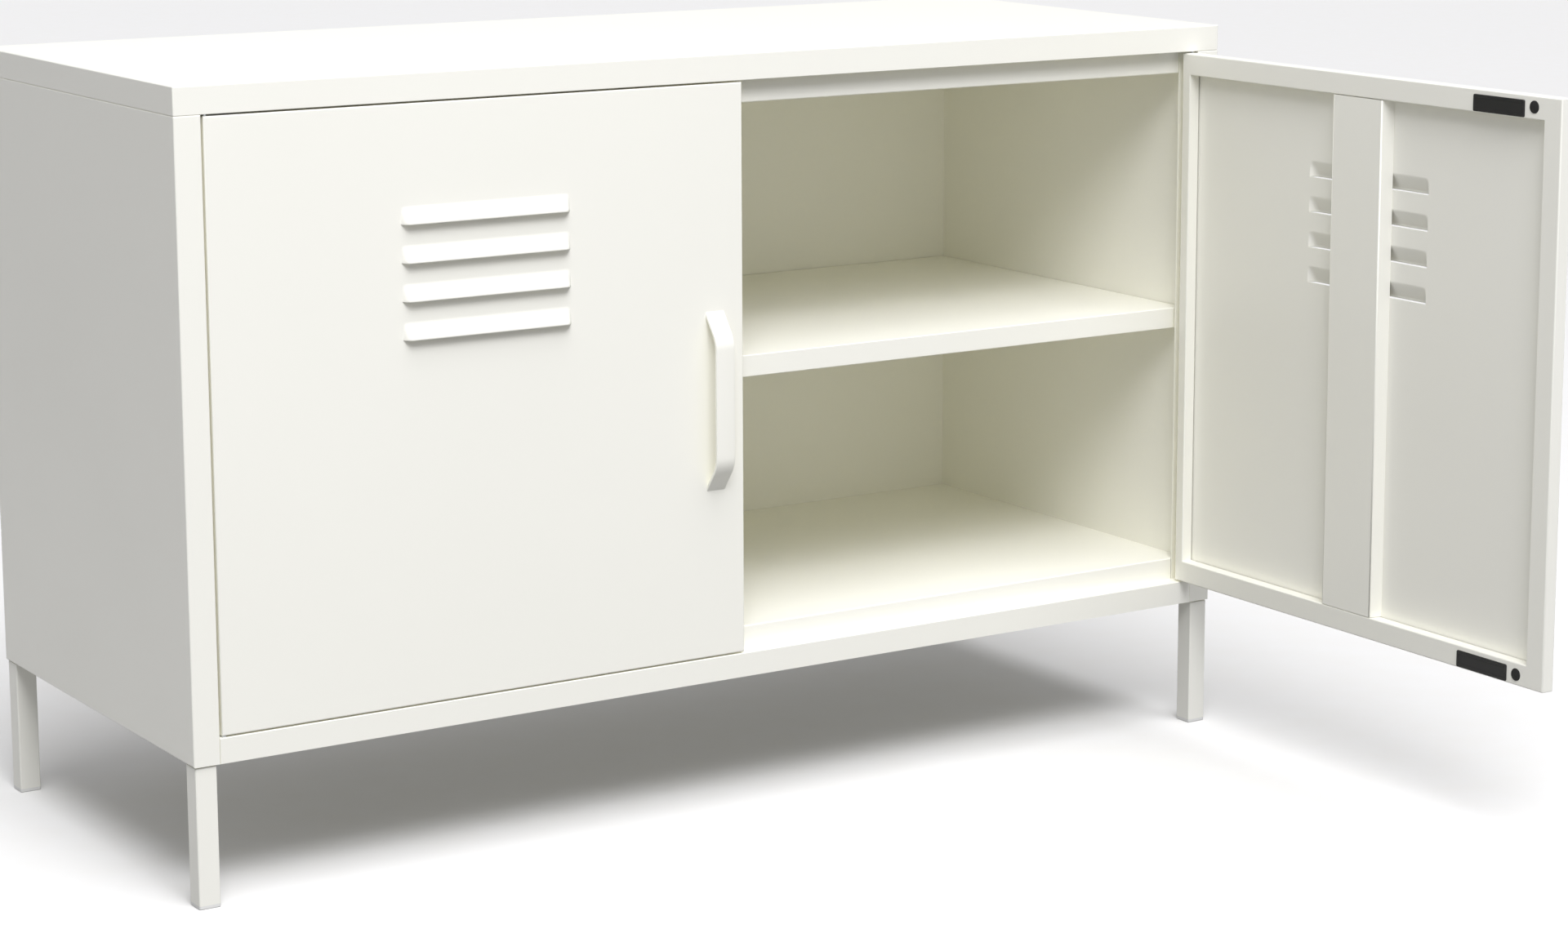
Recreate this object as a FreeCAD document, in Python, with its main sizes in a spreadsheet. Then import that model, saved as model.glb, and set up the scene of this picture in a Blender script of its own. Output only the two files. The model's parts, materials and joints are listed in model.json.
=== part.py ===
"""Two-door steel locker cabinet on four square legs.

Row frame: millimetres, +X to the right, the doors face -Y, +Z up. The origin is on the floor, at the centre
of the carcass footprint. The left door is closed and the right door stands open by right_open degrees.
"""
import FreeCAD, Part
import os
import re
import Sketcher
from FreeCAD import Placement, Rotation, Vector

doc = FreeCAD.newDocument("LockerCabinet")

# name: (value, what it is); millimetres, and degrees where the note says so
sizes = {
    "width": (1000, "carcass, side to side"),
    "depth": (400, "carcass, front to back"),
    "leg_clear": (115, "floor to the underside of the carcass"),
    "body_height": (504.5, "underside of the carcass to the underside of the cap"),
    "cap_height": (22.4, "apron of the top cap"),
    "sheet": (0.8, "steel sheet"),
    "bend": (1.2, "outer radius of a bend"),
    "face_width": (22.3, "front face of each side panel"),
    "stop_width": (10.7, "door stop lip beside the face"),
    "flange": (18, "hidden flange of the side panels, top and bottom"),
    "rear_flange": (15, "rear flange of the side panels"),
    "liner_inset": (20, "outer face of the side to the inner wall"),
    "liner_hide": (1.5, "edge of the liner's flanges behind the edge of the stop lip"),
    "rail_height": (20.6, "front rail under the doors"),
    "ledge_depth": (36, "top flange of the front rail"),
    "rail_foot": (20, "bottom flange of the front rail"),
    "floor_lip": (19.6, "lip of the floor pan above the rail's ledge"),
    "header_drop": (20.1, "header below the underside of the cap"),
    "header_flange": (20, "bottom and top flanges of the header"),
    "hem_setback": (20, "front and rear notches of the cap's hems"),
    "wall_hole": (6, "diameter of the wall fixing holes"),
    "wall_hole_span": (800, "between the wall fixing holes"),
    "wall_hole_drop": (37.5, "underside of the cap to the wall fixing holes"),
    "fit_gap": (0.4, "clearance between sheet parts that slot together"),
    "slip_gap": (0.2, "hidden clearance beside a fold or flange"),
    "lip_gap": (0.8, "clearance at the ends of the header and floor lip"),
    "stiffener_width": (60, "channels under the cap, floor and shelf"),
    "stiffener_crown": (30, "raised middle of those channels"),
    "stiffener_height": (12, "channels under the cap, floor and shelf"),
    "stiffener_setback": (4, "ends of those channels to the folds beside them"),
    "door_gap_side": (1.8, "side panel face to the door's hinge edge"),
    "door_gap_mid": (1.4, "between the two doors"),
    "door_gap_top": (1.45, "cap to door"),
    "door_gap_low": (1.25, "rail ledge to door"),
    "door_thick": (12, "door, front skin to back flange"),
    "frame_free": (19.6, "back flange along the free edge"),
    "frame_hinge": (10.6, "back flange along the hinge edge"),
    "frame_slit": (1, "open slit between the flange's return and the skin"),
    "pin_wall": (0.1, "hinge pin to the door's edge wall"),
    "pivot_back": (3.4, "door's front face to the pin axis"),
    "pin_dia": (3, "hinge pin"),
    "pin_play": (0.12, "hinge pin to its hole, on the diameter"),
    "pin_reach": (6, "pin inside the door"),
    "pin_head": (4.4, "hinge pin's head, diameter"),
    "right_open": (90, "degrees that the right door stands open"),
    "left_open": (0, "degrees that the left door stands open"),
    "plate_thick": (1.5, "pivot plates, hinge brackets and angles"),
    "bracket_length": (31, "upper hinge bracket along the header"),
    "bracket_leg": (12, "upright leg of the upper hinge bracket"),
    "bracket_gap": (0.3, "underside of the cap to the upper hinge bracket"),
    "washer_dia": (4.6, "lower hinge washer"),
    "washer_thick": (1, "lower hinge washer"),
    "hat_top": (61, "door stiffener at the flange's plane"),
    "hat_base": (68, "door stiffener at the skin"),
    "hat_shift": (3, "door stiffener from the door's middle towards the hinge"),
    "louvre_length": (150.5, "louvre hood"),
    "louvre_height": (14.6, "louvre hood"),
    "louvre_lip": (1.6, "upright edge under the hood's slope"),
    "louvre_out": (6, "louvre hood in front of the skin"),
    "louvre_pitch": (30.5, "between louvres"),
    "louvre_drop": (80, "top of the door to the first louvre"),
    "handle_width": (17.5, "strap handle"),
    "handle_thick": (3, "strap handle"),
    "handle_height": (151, "strap handle"),
    "handle_out": (17, "strap handle in front of the door"),
    "handle_foot": (1.5, "flat end of the strap"),
    "handle_rise": (21.5, "height of the strap's sloping ends"),
    "handle_inset": (27.3, "free edge to the middle of the handle"),
    "handle_drop": (23, "door's middle down to the handle's middle"),
    "magnet_length": (58.5, "door magnet"),
    "magnet_height": (13.8, "door magnet"),
    "magnet_proud": (1.2, "magnets and bumpers behind the back flange"),
    "stop_gap": (0.3, "magnets and bumpers to the door stops"),
    "magnet_inset": (41.4, "free edge to the magnets"),
    "magnet_margin_top": (4.3, "top of the door to the upper magnet"),
    "magnet_margin_low": (1.1, "bottom of the door to the lower magnet"),
    "bumper_dia": (10.2, "door bumper"),
    "bumper_inset": (30.7, "free edge to the bumpers"),
    "bumper_drop": (9, "door's top and bottom to the bumpers"),
    "bumper_thick": (6, "door bumper"),
    "seat_play": (0.1, "magnets and bumpers in their cut-outs, each side"),
    "shelf_rise": (231.2, "floor pan to the top of the shelf"),
    "shelf_lip": (18.5, "front and rear lips of the shelf"),
    "shelf_side_lip": (10, "side lips of the shelf"),
    "shelf_setback": (4.5, "door stop plane to the shelf's front"),
    "shelf_play": (0.6, "shelf to the side liners, each side"),
    "shelf_seat": (0.2, "shelf above its brackets"),
    "shelf_hem": (8, "return hem of the shelf's lips"),
    "ledge_width": (12, "shelf and floor brackets, level leg"),
    "ledge_drop": (8.3, "shelf and floor brackets, upright leg"),
    "ledge_end": (6, "shelf bracket ends inside the shelf's lips"),
    "leg_size": (18, "square leg tube"),
    "leg_wall": (1.2, "square leg tube"),
    "leg_inset": (1.5, "carcass faces to the leg"),
    "leg_plate": (3, "plate welded into the top of each leg"),
    "foot_thick": (3, "foot plug under the tube"),
    "foot_stem": (12, "foot plug inside the tube"),
    "leg_gap": (1.2, "washer between leg and carcass"),
    "leg_washer": (14, "washer between leg and carcass, diameter"),
    "bolt_dia": (6, "leg bolt"),
    "bolt_play": (0.4, "leg bolt to its holes, on the diameter"),
    "bolt_head": (11, "leg bolt head, diameter"),
    "bolt_head_thick": (4, "leg bolt head"),
    "bolt_reach": (8, "leg bolt below the carcass"),
    "gusset": (40, "corner gusset above each leg"),
    "gusset_thick": (2, "corner gusset above each leg"),
    "screw_dia": (4, "cap and bracket screws"),
    "screw_head": (8, "cap and bracket screws, head diameter"),
    "screw_head_thick": (2, "cap and bracket screws"),
    "screw_length": (8, "cap and bracket screws below the head"),
    "cap_screw_shift": (0.5, "cap screws inward of the middle between liner wall and stop lip's edge"),
    "cap_screw_end": (50, "front and rear of the carcass to the outer cap screws"),
}

# name: (formula over the sizes, what it is); cells of the same sheet
derived = {
    "stop_back": ("door_thick + magnet_proud + stop_gap", "front plane to the stops, header and floor lip"),
    "pivot_in": ("sheet + pin_dia / 2 + pin_wall", "door's hinge edge to the pin axis"),
    "frame_ends": (
        "magnet_margin_top + magnet_height + seat_play + sheet",
        "back flanges along the top and bottom of the door",
    ),
    "cap_screw_inset": (
        "(liner_inset + face_width + stop_width) / 2 + cap_screw_shift",
        "outer face of the side to the cap screws",
    ),
    "shelf_top": ("leg_clear + rail_height + floor_lip + shelf_rise", "floor to the top of the shelf"),
}
cells = {alias: (str(value), note) for alias, (value, note) in sizes.items()}
cells.update({alias: ("=" + formula, note) for alias, (formula, note) in derived.items()})

sheet = doc.addObject("Spreadsheet::Sheet", "Sizes")
for row, (alias, (content, note)) in enumerate(cells.items(), start=1):
    sheet.set("A%d" % row, alias)
    sheet.set("B%d" % row, content)
    sheet.setAlias("B%d" % row, alias)
    sheet.set("C%d" % row, note)
doc.recompute()

# Heights and depths that several pieces share, as expressions over the sheet.
body_low = "leg_clear"
body_top = "(leg_clear + body_height)"
cap_top = "(leg_clear + body_height + cap_height)"
ledge_top = "(leg_clear + rail_height)"
floor_top = "(leg_clear + rail_height + floor_lip)"
header_low = "(leg_clear + body_height - header_drop)"
stop_edge = "(face_width + stop_width)"
liner_front = "(stop_back + sheet + slip_gap)"
liner_edge = "(face_width + stop_width - liner_hide)"
back_front = "(depth - 2 * sheet)"
door_low = "(leg_clear + rail_height + door_gap_low)"
door_top = "(leg_clear + body_height - door_gap_top)"
door_width = "((width - 2 * face_width - 2 * door_gap_side - door_gap_mid) / 2)"
hinge_in = "(face_width + door_gap_side + pivot_in)"
leg_middle = "(leg_inset + leg_size / 2)"
leg_top = "(leg_clear - leg_gap)"
gusset_width = "(face_width - 2 * sheet - 2 * slip_gap)"
shelf_low = "(shelf_top - shelf_lip)"
shelf_front = "(stop_back + shelf_setback)"
shelf_back = "(depth - 2 * sheet - 2 * shelf_play)"
louvreCount = 4
capScrewRows = ["cap_screw_end", "depth / 2", "depth - cap_screw_end"]

planes = {"x": "YZ_Plane", "y": "XZ_Plane", "z": "XY_Plane"}
sides = {"left": -1, "right": 1}
nodes = []


def bound(text):
    """Name the sheet in front of each alias of an expression."""
    return re.sub(r"[a-z_]+", lambda m: "Sizes." + m.group() if m.group() in cells else m.group(), str(text))


def size(text):
    """The sheet's value for one alias."""
    return float(sheet.get(text))


def bind(thing, **values):
    """Bind properties of an object to expressions over the sheet; a double underscore stands for a dot."""
    for name, text in values.items():
        thing.setExpression(name.replace("__", "."), bound(text))


def inward(side, distance):
    """X of a place at a distance in from the carcass's left or right face."""
    return "%d * (width / 2 - (%s))" % (sides[side], distance)


def block(x0, x1, y0, y1):
    """A rectangle as a loop of points."""
    return [(x0, y0), (x1, y0), (x1, y1), (x0, y1)]


def disc(x, y, diameter):
    """A circle as a loop."""
    return (x, y, diameter)


def drawn(body, name, along, loops, start):
    """A sketch across an axis, at a start along it, with every point bound to the sheet."""
    sketch = body.newObject("Sketcher::SketchObject", name)
    plane = next(o for o in body.Origin.OriginFeatures if o.Role == planes[along])
    sketch.AttachmentSupport = [(plane, "")]
    sketch.MapMode = "FlatFace"
    bind(sketch, AttachmentOffset__Base__z="-(%s)" % start if along == "y" else start)
    for loop in loops:
        first = sketch.GeometryCount
        if isinstance(loop, tuple):
            x, y, diameter = loop
            sketch.addGeometry(Part.Circle(Vector(first, 1, 0), Vector(0, 0, 1), 1))
            centre = [("DistanceX", x), ("DistanceY", y)]
            for kind, text in centre:
                place = sketch.addConstraint(Sketcher.Constraint(kind, -1, 1, first, 3, 1))
                sketch.setExpression("Constraints[%d]" % place, bound(text))
            place = sketch.addConstraint(Sketcher.Constraint("Diameter", first, 2))
            sketch.setExpression("Constraints[%d]" % place, bound(diameter))
            continue
        count = len(loop)
        rough = [Vector(first + i, i * i + 1, 0) for i in range(count)]
        for i in range(count):
            sketch.addGeometry(Part.LineSegment(rough[i], rough[(i + 1) % count]))
        for i in range(count):
            sketch.addConstraint(Sketcher.Constraint("Coincident", first + i, 2, first + (i + 1) % count, 1))
        for i, (x, y) in enumerate(loop):
            for kind, text in (("DistanceX", x), ("DistanceY", y)):
                place = sketch.addConstraint(Sketcher.Constraint(kind, -1, 1, first + i, 1, 1))
                sketch.setExpression("Constraints[%d]" % place, bound(text))
    return sketch


def grow(body, name, along, loops, start, length):
    """Pad loops along an axis, from start, by length."""
    pad = body.newObject("PartDesign::Pad", name)
    pad.Profile = drawn(body, name + "Sketch", along, loops, start)
    pad.Reversed = along == "y"
    bind(pad, Length=length)
    doc.recompute()
    return pad


def cut(body, name, along, loops, start, length):
    """Pocket loops along an axis, from start, by length, and see that it takes material away."""
    before = body.Shape.Volume
    pocket = body.newObject("PartDesign::Pocket", name)
    pocket.Profile = drawn(body, name + "Sketch", along, loops, start)
    pocket.Reversed = along != "y"
    bind(pocket, Length=length)
    doc.recompute()
    if not body.Shape.Volume < before - 1e-6:
        raise RuntimeError("%s in %s cuts nothing" % (name, body.Label))
    return pocket


def lies(edge, places):
    """Whether an edge lies at the given coordinates, such as {"XMin": 0, "YMin": 3}."""
    box = edge.BoundBox
    return all(
        abs(getattr(box, key) - value) < 1e-4 and abs(getattr(box, key[0] + "Max") - value) < 1e-4
        for key, value in places.items()
    )


def smooth(body, name, radius, *spots):
    """Fillet the edges that lie at the given spots of the body's own frame, by a radius of the sheet."""
    base = body.Tip
    names = [
        "Edge%d" % (i + 1)
        for i, edge in enumerate(base.Shape.Edges)
        if any(lies(edge, spot) for spot in spots)
    ]
    if not names:
        raise RuntimeError("%s in %s finds no edge" % (name, body.Label))
    fillet = body.newObject("PartDesign::Fillet", name)
    fillet.Base = (base, names)
    bind(fillet, Radius=radius)
    doc.recompute()
    return fillet


def carcassBody(label):
    """A body of the carcass: X from the middle, Y from the front plane, Z from the floor."""
    body = doc.addObject("PartDesign::Body", label)
    body.Label = label
    bind(body, Placement__Base__y="-depth / 2")
    nodes.append(body)
    return body


def doorBody(side, part):
    """A body of a door, drawn closed about its pin axis and turned to the door's angle."""
    label = "%s_%s" % (side, part)
    body = doc.addObject("PartDesign::Body", label)
    body.Label = label
    hang(body, side)
    nodes.append(body)
    return body


def hang(thing, side):
    """Place a thing on a door's pin axis, at the door's angle."""
    thing.Placement = Placement(Vector(0, 0, 0), Rotation(Vector(0, 0, 1), 1))
    bind(
        thing,
        Placement__Base__x=inward(side, hinge_in),
        Placement__Base__y="pivot_back - depth / 2",
        Placement__Rotation__Angle="%d * %s_open * 1 deg" % (sides[side], side),
    )


def across(side, distance):
    """Door X of a place at a distance from the hinge edge."""
    return "%d * ((%s) - pivot_in)" % (-sides[side], distance)


def behind(distance):
    """Door Y of a place at a distance behind the front face."""
    return "(%s) - pivot_back" % distance


def rod(name, diameter, x, y, low, height):
    """A loose upright cylinder, bound to the sheet."""
    part = doc.addObject("Part::Cylinder", name)
    bind(part, Radius="(%s) / 2" % diameter, Height=height)
    bind(part, Placement__Base__x=x, Placement__Base__y=y, Placement__Base__z=low)
    return part


def joined(name, *parts):
    """The union of loose primitives."""
    union = doc.addObject("Part::MultiFuse", name)
    union.Shapes = list(parts)
    return union


def pierced(name, base, tool):
    """One loose primitive less another."""
    rest = doc.addObject("Part::Cut", name)
    rest.Base = base
    rest.Tool = tool
    return rest


def group(label, parts):
    """Identical loose solids as one node."""
    bundle = doc.addObject("Part::Compound", label)
    bundle.Label = label
    bundle.Links = parts
    nodes.append(bundle)
    return bundle


def topCap():
    """Folded tray: top, four aprons and a hem along each side."""
    body = carcassBody("top_cap")
    outer = block("-width / 2", "width / 2", "0", "depth")
    inner = block("sheet - width / 2", "width / 2 - sheet", "sheet", "depth - sheet")
    grow(body, "Tray", "z", [outer], body_top, "cap_height")
    cut(body, "Inside", "z", [inner], body_top, "cap_height - sheet")
    half, deep = size("width") / 2, size("depth")
    high = size("leg_clear") + size("body_height") + size("cap_height")
    corners = [{"XMin": x, "YMin": y} for x in (-half, half) for y in (0, deep)]
    rim = [{"XMin": -half, "ZMin": high}, {"XMin": half, "ZMin": high}, {"YMin": 0, "ZMin": high},
           {"YMin": deep, "ZMin": high}]
    smooth(body, "Bends", "bend", *(corners + rim))
    for side in sides:
        inner = inward(side, stop_edge)
        hem = block(inward(side, "sheet"), inner, "hem_setback", "depth - hem_setback")
        grow(body, side.capitalize() + "Hem", "z", [hem] + capScrewHoles(side), body_top, "sheet")


def capScrewHoles(side):
    """Clearance holes of the cap's screws on one side."""
    place = inward(side, "cap_screw_inset")
    return [disc(place, v, "screw_dia + pin_play") for v in capScrewRows]


def sidePanel(side):
    """Outer skin, front face, door pocket, stop lip and rear flange, folded from one sheet."""
    body = carcassBody("side_panel_" + side)
    fold = [
        ("rear_flange", "depth"), ("0", "depth"), ("0", "0"), ("face_width", "0"),
        ("face_width", "stop_back"), (stop_edge, "stop_back"), (stop_edge, "stop_back + sheet"),
        ("face_width - sheet", "stop_back + sheet"), ("face_width - sheet", "sheet"),
        ("sheet", "sheet"), ("sheet", "depth - sheet"), ("rear_flange", "depth - sheet"),
    ]
    grow(body, "Fold", "z", [[(inward(side, u), v) for u, v in fold]], body_low, "body_height")
    seat = [
        ("0.5 * sheet", "0.5 * sheet"), ("face_width - 0.5 * sheet", "0.5 * sheet"),
        ("face_width - 0.5 * sheet", "stop_back"), ("flange", "stop_back"),
        ("flange", "depth - 0.5 * sheet"), ("0.5 * sheet", "depth - 0.5 * sheet"),
    ]
    seat = [(inward(side, u), v) for u, v in seat]
    grow(body, "TopFlange", "z", [seat], body_top + " - sheet", "sheet")
    rows = (leg_middle, "depth - " + leg_middle)
    bolts = [disc(inward(side, leg_middle), v, "bolt_dia + bolt_play") for v in rows]
    grow(body, "LowFlange", "z", [seat] + bolts, body_low, "sheet")
    notch = block(inward(side, "face_width"), inward(side, stop_edge + " + sheet"), "stop_back - sheet",
                  "stop_back + 2 * sheet")
    cut(body, "RailNotch", "z", [notch], body_low + " - sheet", "rail_height + sheet")
    x = sides[side] * size("width") / 2
    inner = x - sides[side] * size("face_width")
    deep, low = size("depth"), size("leg_clear")
    top = low + size("body_height")
    upright = [{"XMin": x, "YMin": 0}, {"XMin": inner, "YMin": 0}, {"XMin": x, "YMin": deep}]
    level = [{"XMin": x, "ZMin": low}, {"XMin": x, "ZMin": top}, {"YMin": 0, "ZMin": top}]
    smooth(body, "Bends", "bend", *(upright + level))


def sideLiner(side):
    """Inner wall with a flange behind the door stop and one under the cap."""
    body = carcassBody("side_liner_" + side)
    wall = "liner_inset - sheet"
    fold = [
        (wall, liner_front), (liner_edge, liner_front),
        (liner_edge, liner_front + " + sheet"), ("liner_inset", liner_front + " + sheet"),
        ("liner_inset", back_front), (wall, back_front),
    ]
    grow(body, "Fold", "z", [[(inward(side, u), v) for u, v in fold]], floor_top,
         body_top + " - " + floor_top)
    flange = block(inward(side, wall), inward(side, liner_edge), liner_front, back_front)
    grow(body, "TopFlange", "z", [flange] + capScrewHoles(side), body_top + " - sheet", "sheet")
    x = sides[side] * (size("width") / 2 - size("liner_inset"))
    low = size("leg_clear") + size("body_height") - size("sheet")
    smooth(body, "Bend", "sheet", {"XMin": x, "ZMin": low})


def backPanel():
    """Flat rear sheet with two holes for fixing the cabinet to a wall."""
    body = carcassBody("back_panel")
    half = "(width / 2 - sheet - fit_gap)"
    low, top = body_low + " + sheet + slip_gap", body_top + " - sheet - slip_gap"
    drop = body_top + " - wall_hole_drop"
    holes = [disc("%d * wall_hole_span / 2" % s, drop, "wall_hole") for s in sides.values()]
    grow(body, "Sheet", "y", [block("-" + half, half, low, top)] + holes, back_front, "sheet")


def floorPan():
    """Raised floor: a sheet with a front lip standing on the rail's ledge."""
    body = carcassBody("floor_pan")
    edge = "(width / 2 - sheet - fit_gap)"
    lip_end = "(width / 2 - %s - lip_gap)" % stop_edge
    rear = back_front + " - fit_gap"
    plate = [
        ("-" + lip_end, "stop_back"), (lip_end, "stop_back"), (lip_end, liner_front),
        (edge, liner_front), (edge, rear), ("-" + edge, rear), ("-" + edge, liner_front),
        ("-" + lip_end, liner_front),
    ]
    grow(body, "Plate", "z", [plate], floor_top + " - sheet", "sheet")
    lip = block("-" + lip_end, lip_end, "stop_back", "stop_back + sheet")
    grow(body, "Lip", "z", [lip], ledge_top, "floor_lip - 0.5 * sheet")
    floor = size("leg_clear") + size("rail_height") + size("floor_lip")
    smooth(body, "LipBend", "bend", {"YMin": size("stop_back"), "ZMin": floor})


def sideAngle(label, side, wall, top, start, end):
    """Angle on a side wall, carrying what sits on its level leg."""
    body = carcassBody(label)
    angle = [
        (wall, top), (wall + " + ledge_width", top), (wall + " + ledge_width", top + " - plate_thick"),
        (wall + " + plate_thick", top + " - plate_thick"), (wall + " + plate_thick", top + " - ledge_drop"),
        (wall, top + " - ledge_drop"),
    ]
    profile = [(inward(side, u), z) for u, z in angle]
    grow(body, "Angle", "y", [profile], start, "%s - (%s)" % (end, start))


def floorBracket(side):
    """Angle on the side panel; the floor pan's edge sits on it."""
    sideAngle("floor_bracket_" + side, side, "sheet", floor_top + " - sheet", liner_front, back_front)


def frontRail():
    """Channel under the doors; its top flange is the ledge that the floor pan and hinge pins stand on."""
    body = carcassBody("front_rail")
    profile = [
        ("0", body_low), ("rail_foot", body_low), ("rail_foot", body_low + " + sheet"),
        ("sheet", body_low + " + sheet"), ("sheet", ledge_top + " - sheet"),
        ("ledge_depth", ledge_top + " - sheet"), ("ledge_depth", ledge_top), ("0", ledge_top),
    ]
    grow(body, "Channel", "x", [profile], "face_width - width / 2", "width - 2 * face_width")
    pins = [disc(inward(side, hinge_in), "pivot_back", "pin_dia") for side in sides]
    cut(body, "PinHoles", "z", pins, ledge_top + " - 2 * sheet", "3 * sheet")
    smooth(body, "Bends", "sheet", {"YMin": 0, "ZMin": size("leg_clear") + size("rail_height")})


def headerRail():
    """Channel over the doors, hung from the cap, with a lip that stiffens its lower edge."""
    body = carcassBody("header_rail")
    back = "stop_back + header_flange"
    top = cap_top + " - sheet"
    profile = [
        ("stop_back", header_low), (back, header_low), (back, header_low + " + sheet"),
        ("stop_back + sheet", header_low + " + sheet"), ("stop_back + sheet", top + " - sheet"),
        (back, top + " - sheet"), (back, top), ("stop_back", top),
    ]
    reach = "width / 2 - %s - lip_gap" % stop_edge
    grow(body, "Channel", "x", [profile], "-(%s)" % reach, "2 * (%s)" % reach)
    low = size("leg_clear") + size("body_height") - size("header_drop")
    smooth(body, "Bend", "bend", {"YMin": size("stop_back"), "ZMin": low})


def trayStiffener(label, top, fold):
    """Hat channel glued under a wide sheet, front to back at its middle, between folds at a depth."""
    body = carcassBody(label)
    half, wall = "stiffener_width / 2", "stiffener_crown / 2"
    low = "(%s) - stiffener_height" % top
    hat = [
        ("-(%s)" % half, top), ("-(%s)" % half, top + " - sheet"),
        ("-(%s) - sheet" % wall, top + " - sheet"), ("-(%s) - sheet" % wall, low),
        ("%s + sheet" % wall, low), ("%s + sheet" % wall, top + " - sheet"), (half, top + " - sheet"),
        (half, top), (wall, top), (wall, low + " + sheet"), ("-(%s)" % wall, low + " + sheet"),
        ("-(%s)" % wall, top),
    ]
    start = "(%s + stiffener_setback)" % fold
    grow(body, "Hat", "y", [hat], start, "depth - 2 * " + start)


def legSpots():
    """X and Y of the four legs, named as a person facing the doors would."""
    rows = {"front": leg_middle, "rear": "depth - " + leg_middle}
    return {"%s_%s" % (end, side): (inward(side, leg_middle), rows[end]) for end in rows for side in sides}


def square(x, y, half):
    """A square loop about a centre."""
    low, high = "%s - (" + half + ")", "%s + (" + half + ")"
    return block(low % x, high % x, low % y, high % y)


def tubeCorners(spot):
    """Where the upright edges of a leg lie, for rounding them."""
    half = size("leg_size") / 2
    middle = size("leg_inset") + half
    x = (1 if "right" in spot else -1) * (size("width") / 2 - middle)
    y = middle if "front" in spot else size("depth") - middle
    return [{"XMin": x + i * half, "YMin": y + j * half} for i in (-1, 1) for j in (-1, 1)]


def leg(spot, x, y):
    """Square tube with a drilled plate welded into its top."""
    body = carcassBody("leg_" + spot)
    grow(body, "Tube", "z", [square(x, y, "leg_size / 2")], "foot_thick", leg_top + " - foot_thick")
    smooth(body, "Corners", "bend", *tubeCorners(spot))
    cut(body, "Bore", "z", [square(x, y, "leg_size / 2 - leg_wall")], "foot_thick",
        leg_top + " - foot_thick - leg_plate")
    hole = disc(x, y, "bolt_dia + pin_play")
    cut(body, "BoltHole", "z", [hole], leg_top + " - 2 * leg_plate", "3 * leg_plate")


def foot(spot, x, y):
    """Moulded plug: a pad under the tube and a stem inside it."""
    body = carcassBody("foot_" + spot)
    grow(body, "Pad", "z", [square(x, y, "leg_size / 2")], "0", "foot_thick")
    smooth(body, "Corners", "bend", *tubeCorners(spot))
    grow(body, "Stem", "z", [square(x, y, "leg_size / 2 - leg_wall - seat_play")], "0.5 * foot_thick",
         "foot_stem + 0.5 * foot_thick")


def legFixings():
    """Bolt, washer and gusset at each leg, as three nodes of four solids."""
    bolts, washers, gussets = [], [], []
    for spot, (x, v) in legSpots().items():
        y = "%s - depth / 2" % v
        under = body_low + " + sheet + gusset_thick"
        head = rod("Head_" + spot, "bolt_head", x, y, under, "bolt_head_thick")
        shank = rod("Shank_" + spot, "bolt_dia", x, y, body_low + " - bolt_reach",
                    "bolt_reach + sheet + gusset_thick + 0.5 * bolt_head_thick")
        bolts.append(joined("LegBolt_" + spot, head, shank))
        ring = rod("Ring_" + spot, "leg_washer", x, y, leg_top, "leg_gap")
        bore = rod("RingHole_" + spot, "bolt_dia + bolt_play", x, y, leg_top + " - leg_gap", "3 * leg_gap")
        washers.append(pierced("LegWasher_" + spot, ring, bore))
        plate = doc.addObject("Part::Box", "Plate_" + spot)
        bind(plate, Length=gusset_width, Width="gusset", Height="gusset_thick")
        end, side = spot.split("_")
        plate_x = {
            "left": "sheet + slip_gap - width / 2",
            "right": "width / 2 - sheet - slip_gap - " + gusset_width,
        }
        plate_y = {
            "front": "sheet + slip_gap - depth / 2",
            "rear": back_front + " - slip_gap - gusset - depth / 2",
        }
        bind(plate, Placement__Base__x=plate_x[side], Placement__Base__y=plate_y[end])
        bind(plate, Placement__Base__z=body_low + " + sheet")
        hole = rod("PlateHole_" + spot, "bolt_dia + bolt_play", x, y, body_low, "4 * gusset_thick")
        gussets.append(pierced("Gusset_" + spot, plate, hole))
    group("leg_bolts", bolts)
    group("leg_washers", washers)
    group("corner_gussets", gussets)


def capScrews():
    """Pan-head screws from inside, through the liners' top flanges into the cap's hems."""
    screws = []
    for side in sides:
        for place, v in enumerate(capScrewRows, start=1):
            name = "%s_%d" % (side, place)
            x, y = inward(side, "cap_screw_inset"), "%s - depth / 2" % v
            low = body_top + " - sheet - screw_head_thick"
            head = rod("CapHead_" + name, "screw_head", x, y, low, "screw_head_thick")
            neck = low + " + 0.5 * screw_head_thick"
            shank = rod("CapShank_" + name, "screw_dia", x, y, neck, "screw_length")
            screws.append(joined("CapScrew_" + name, head, shank))
    group("cap_screws", screws)


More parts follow.
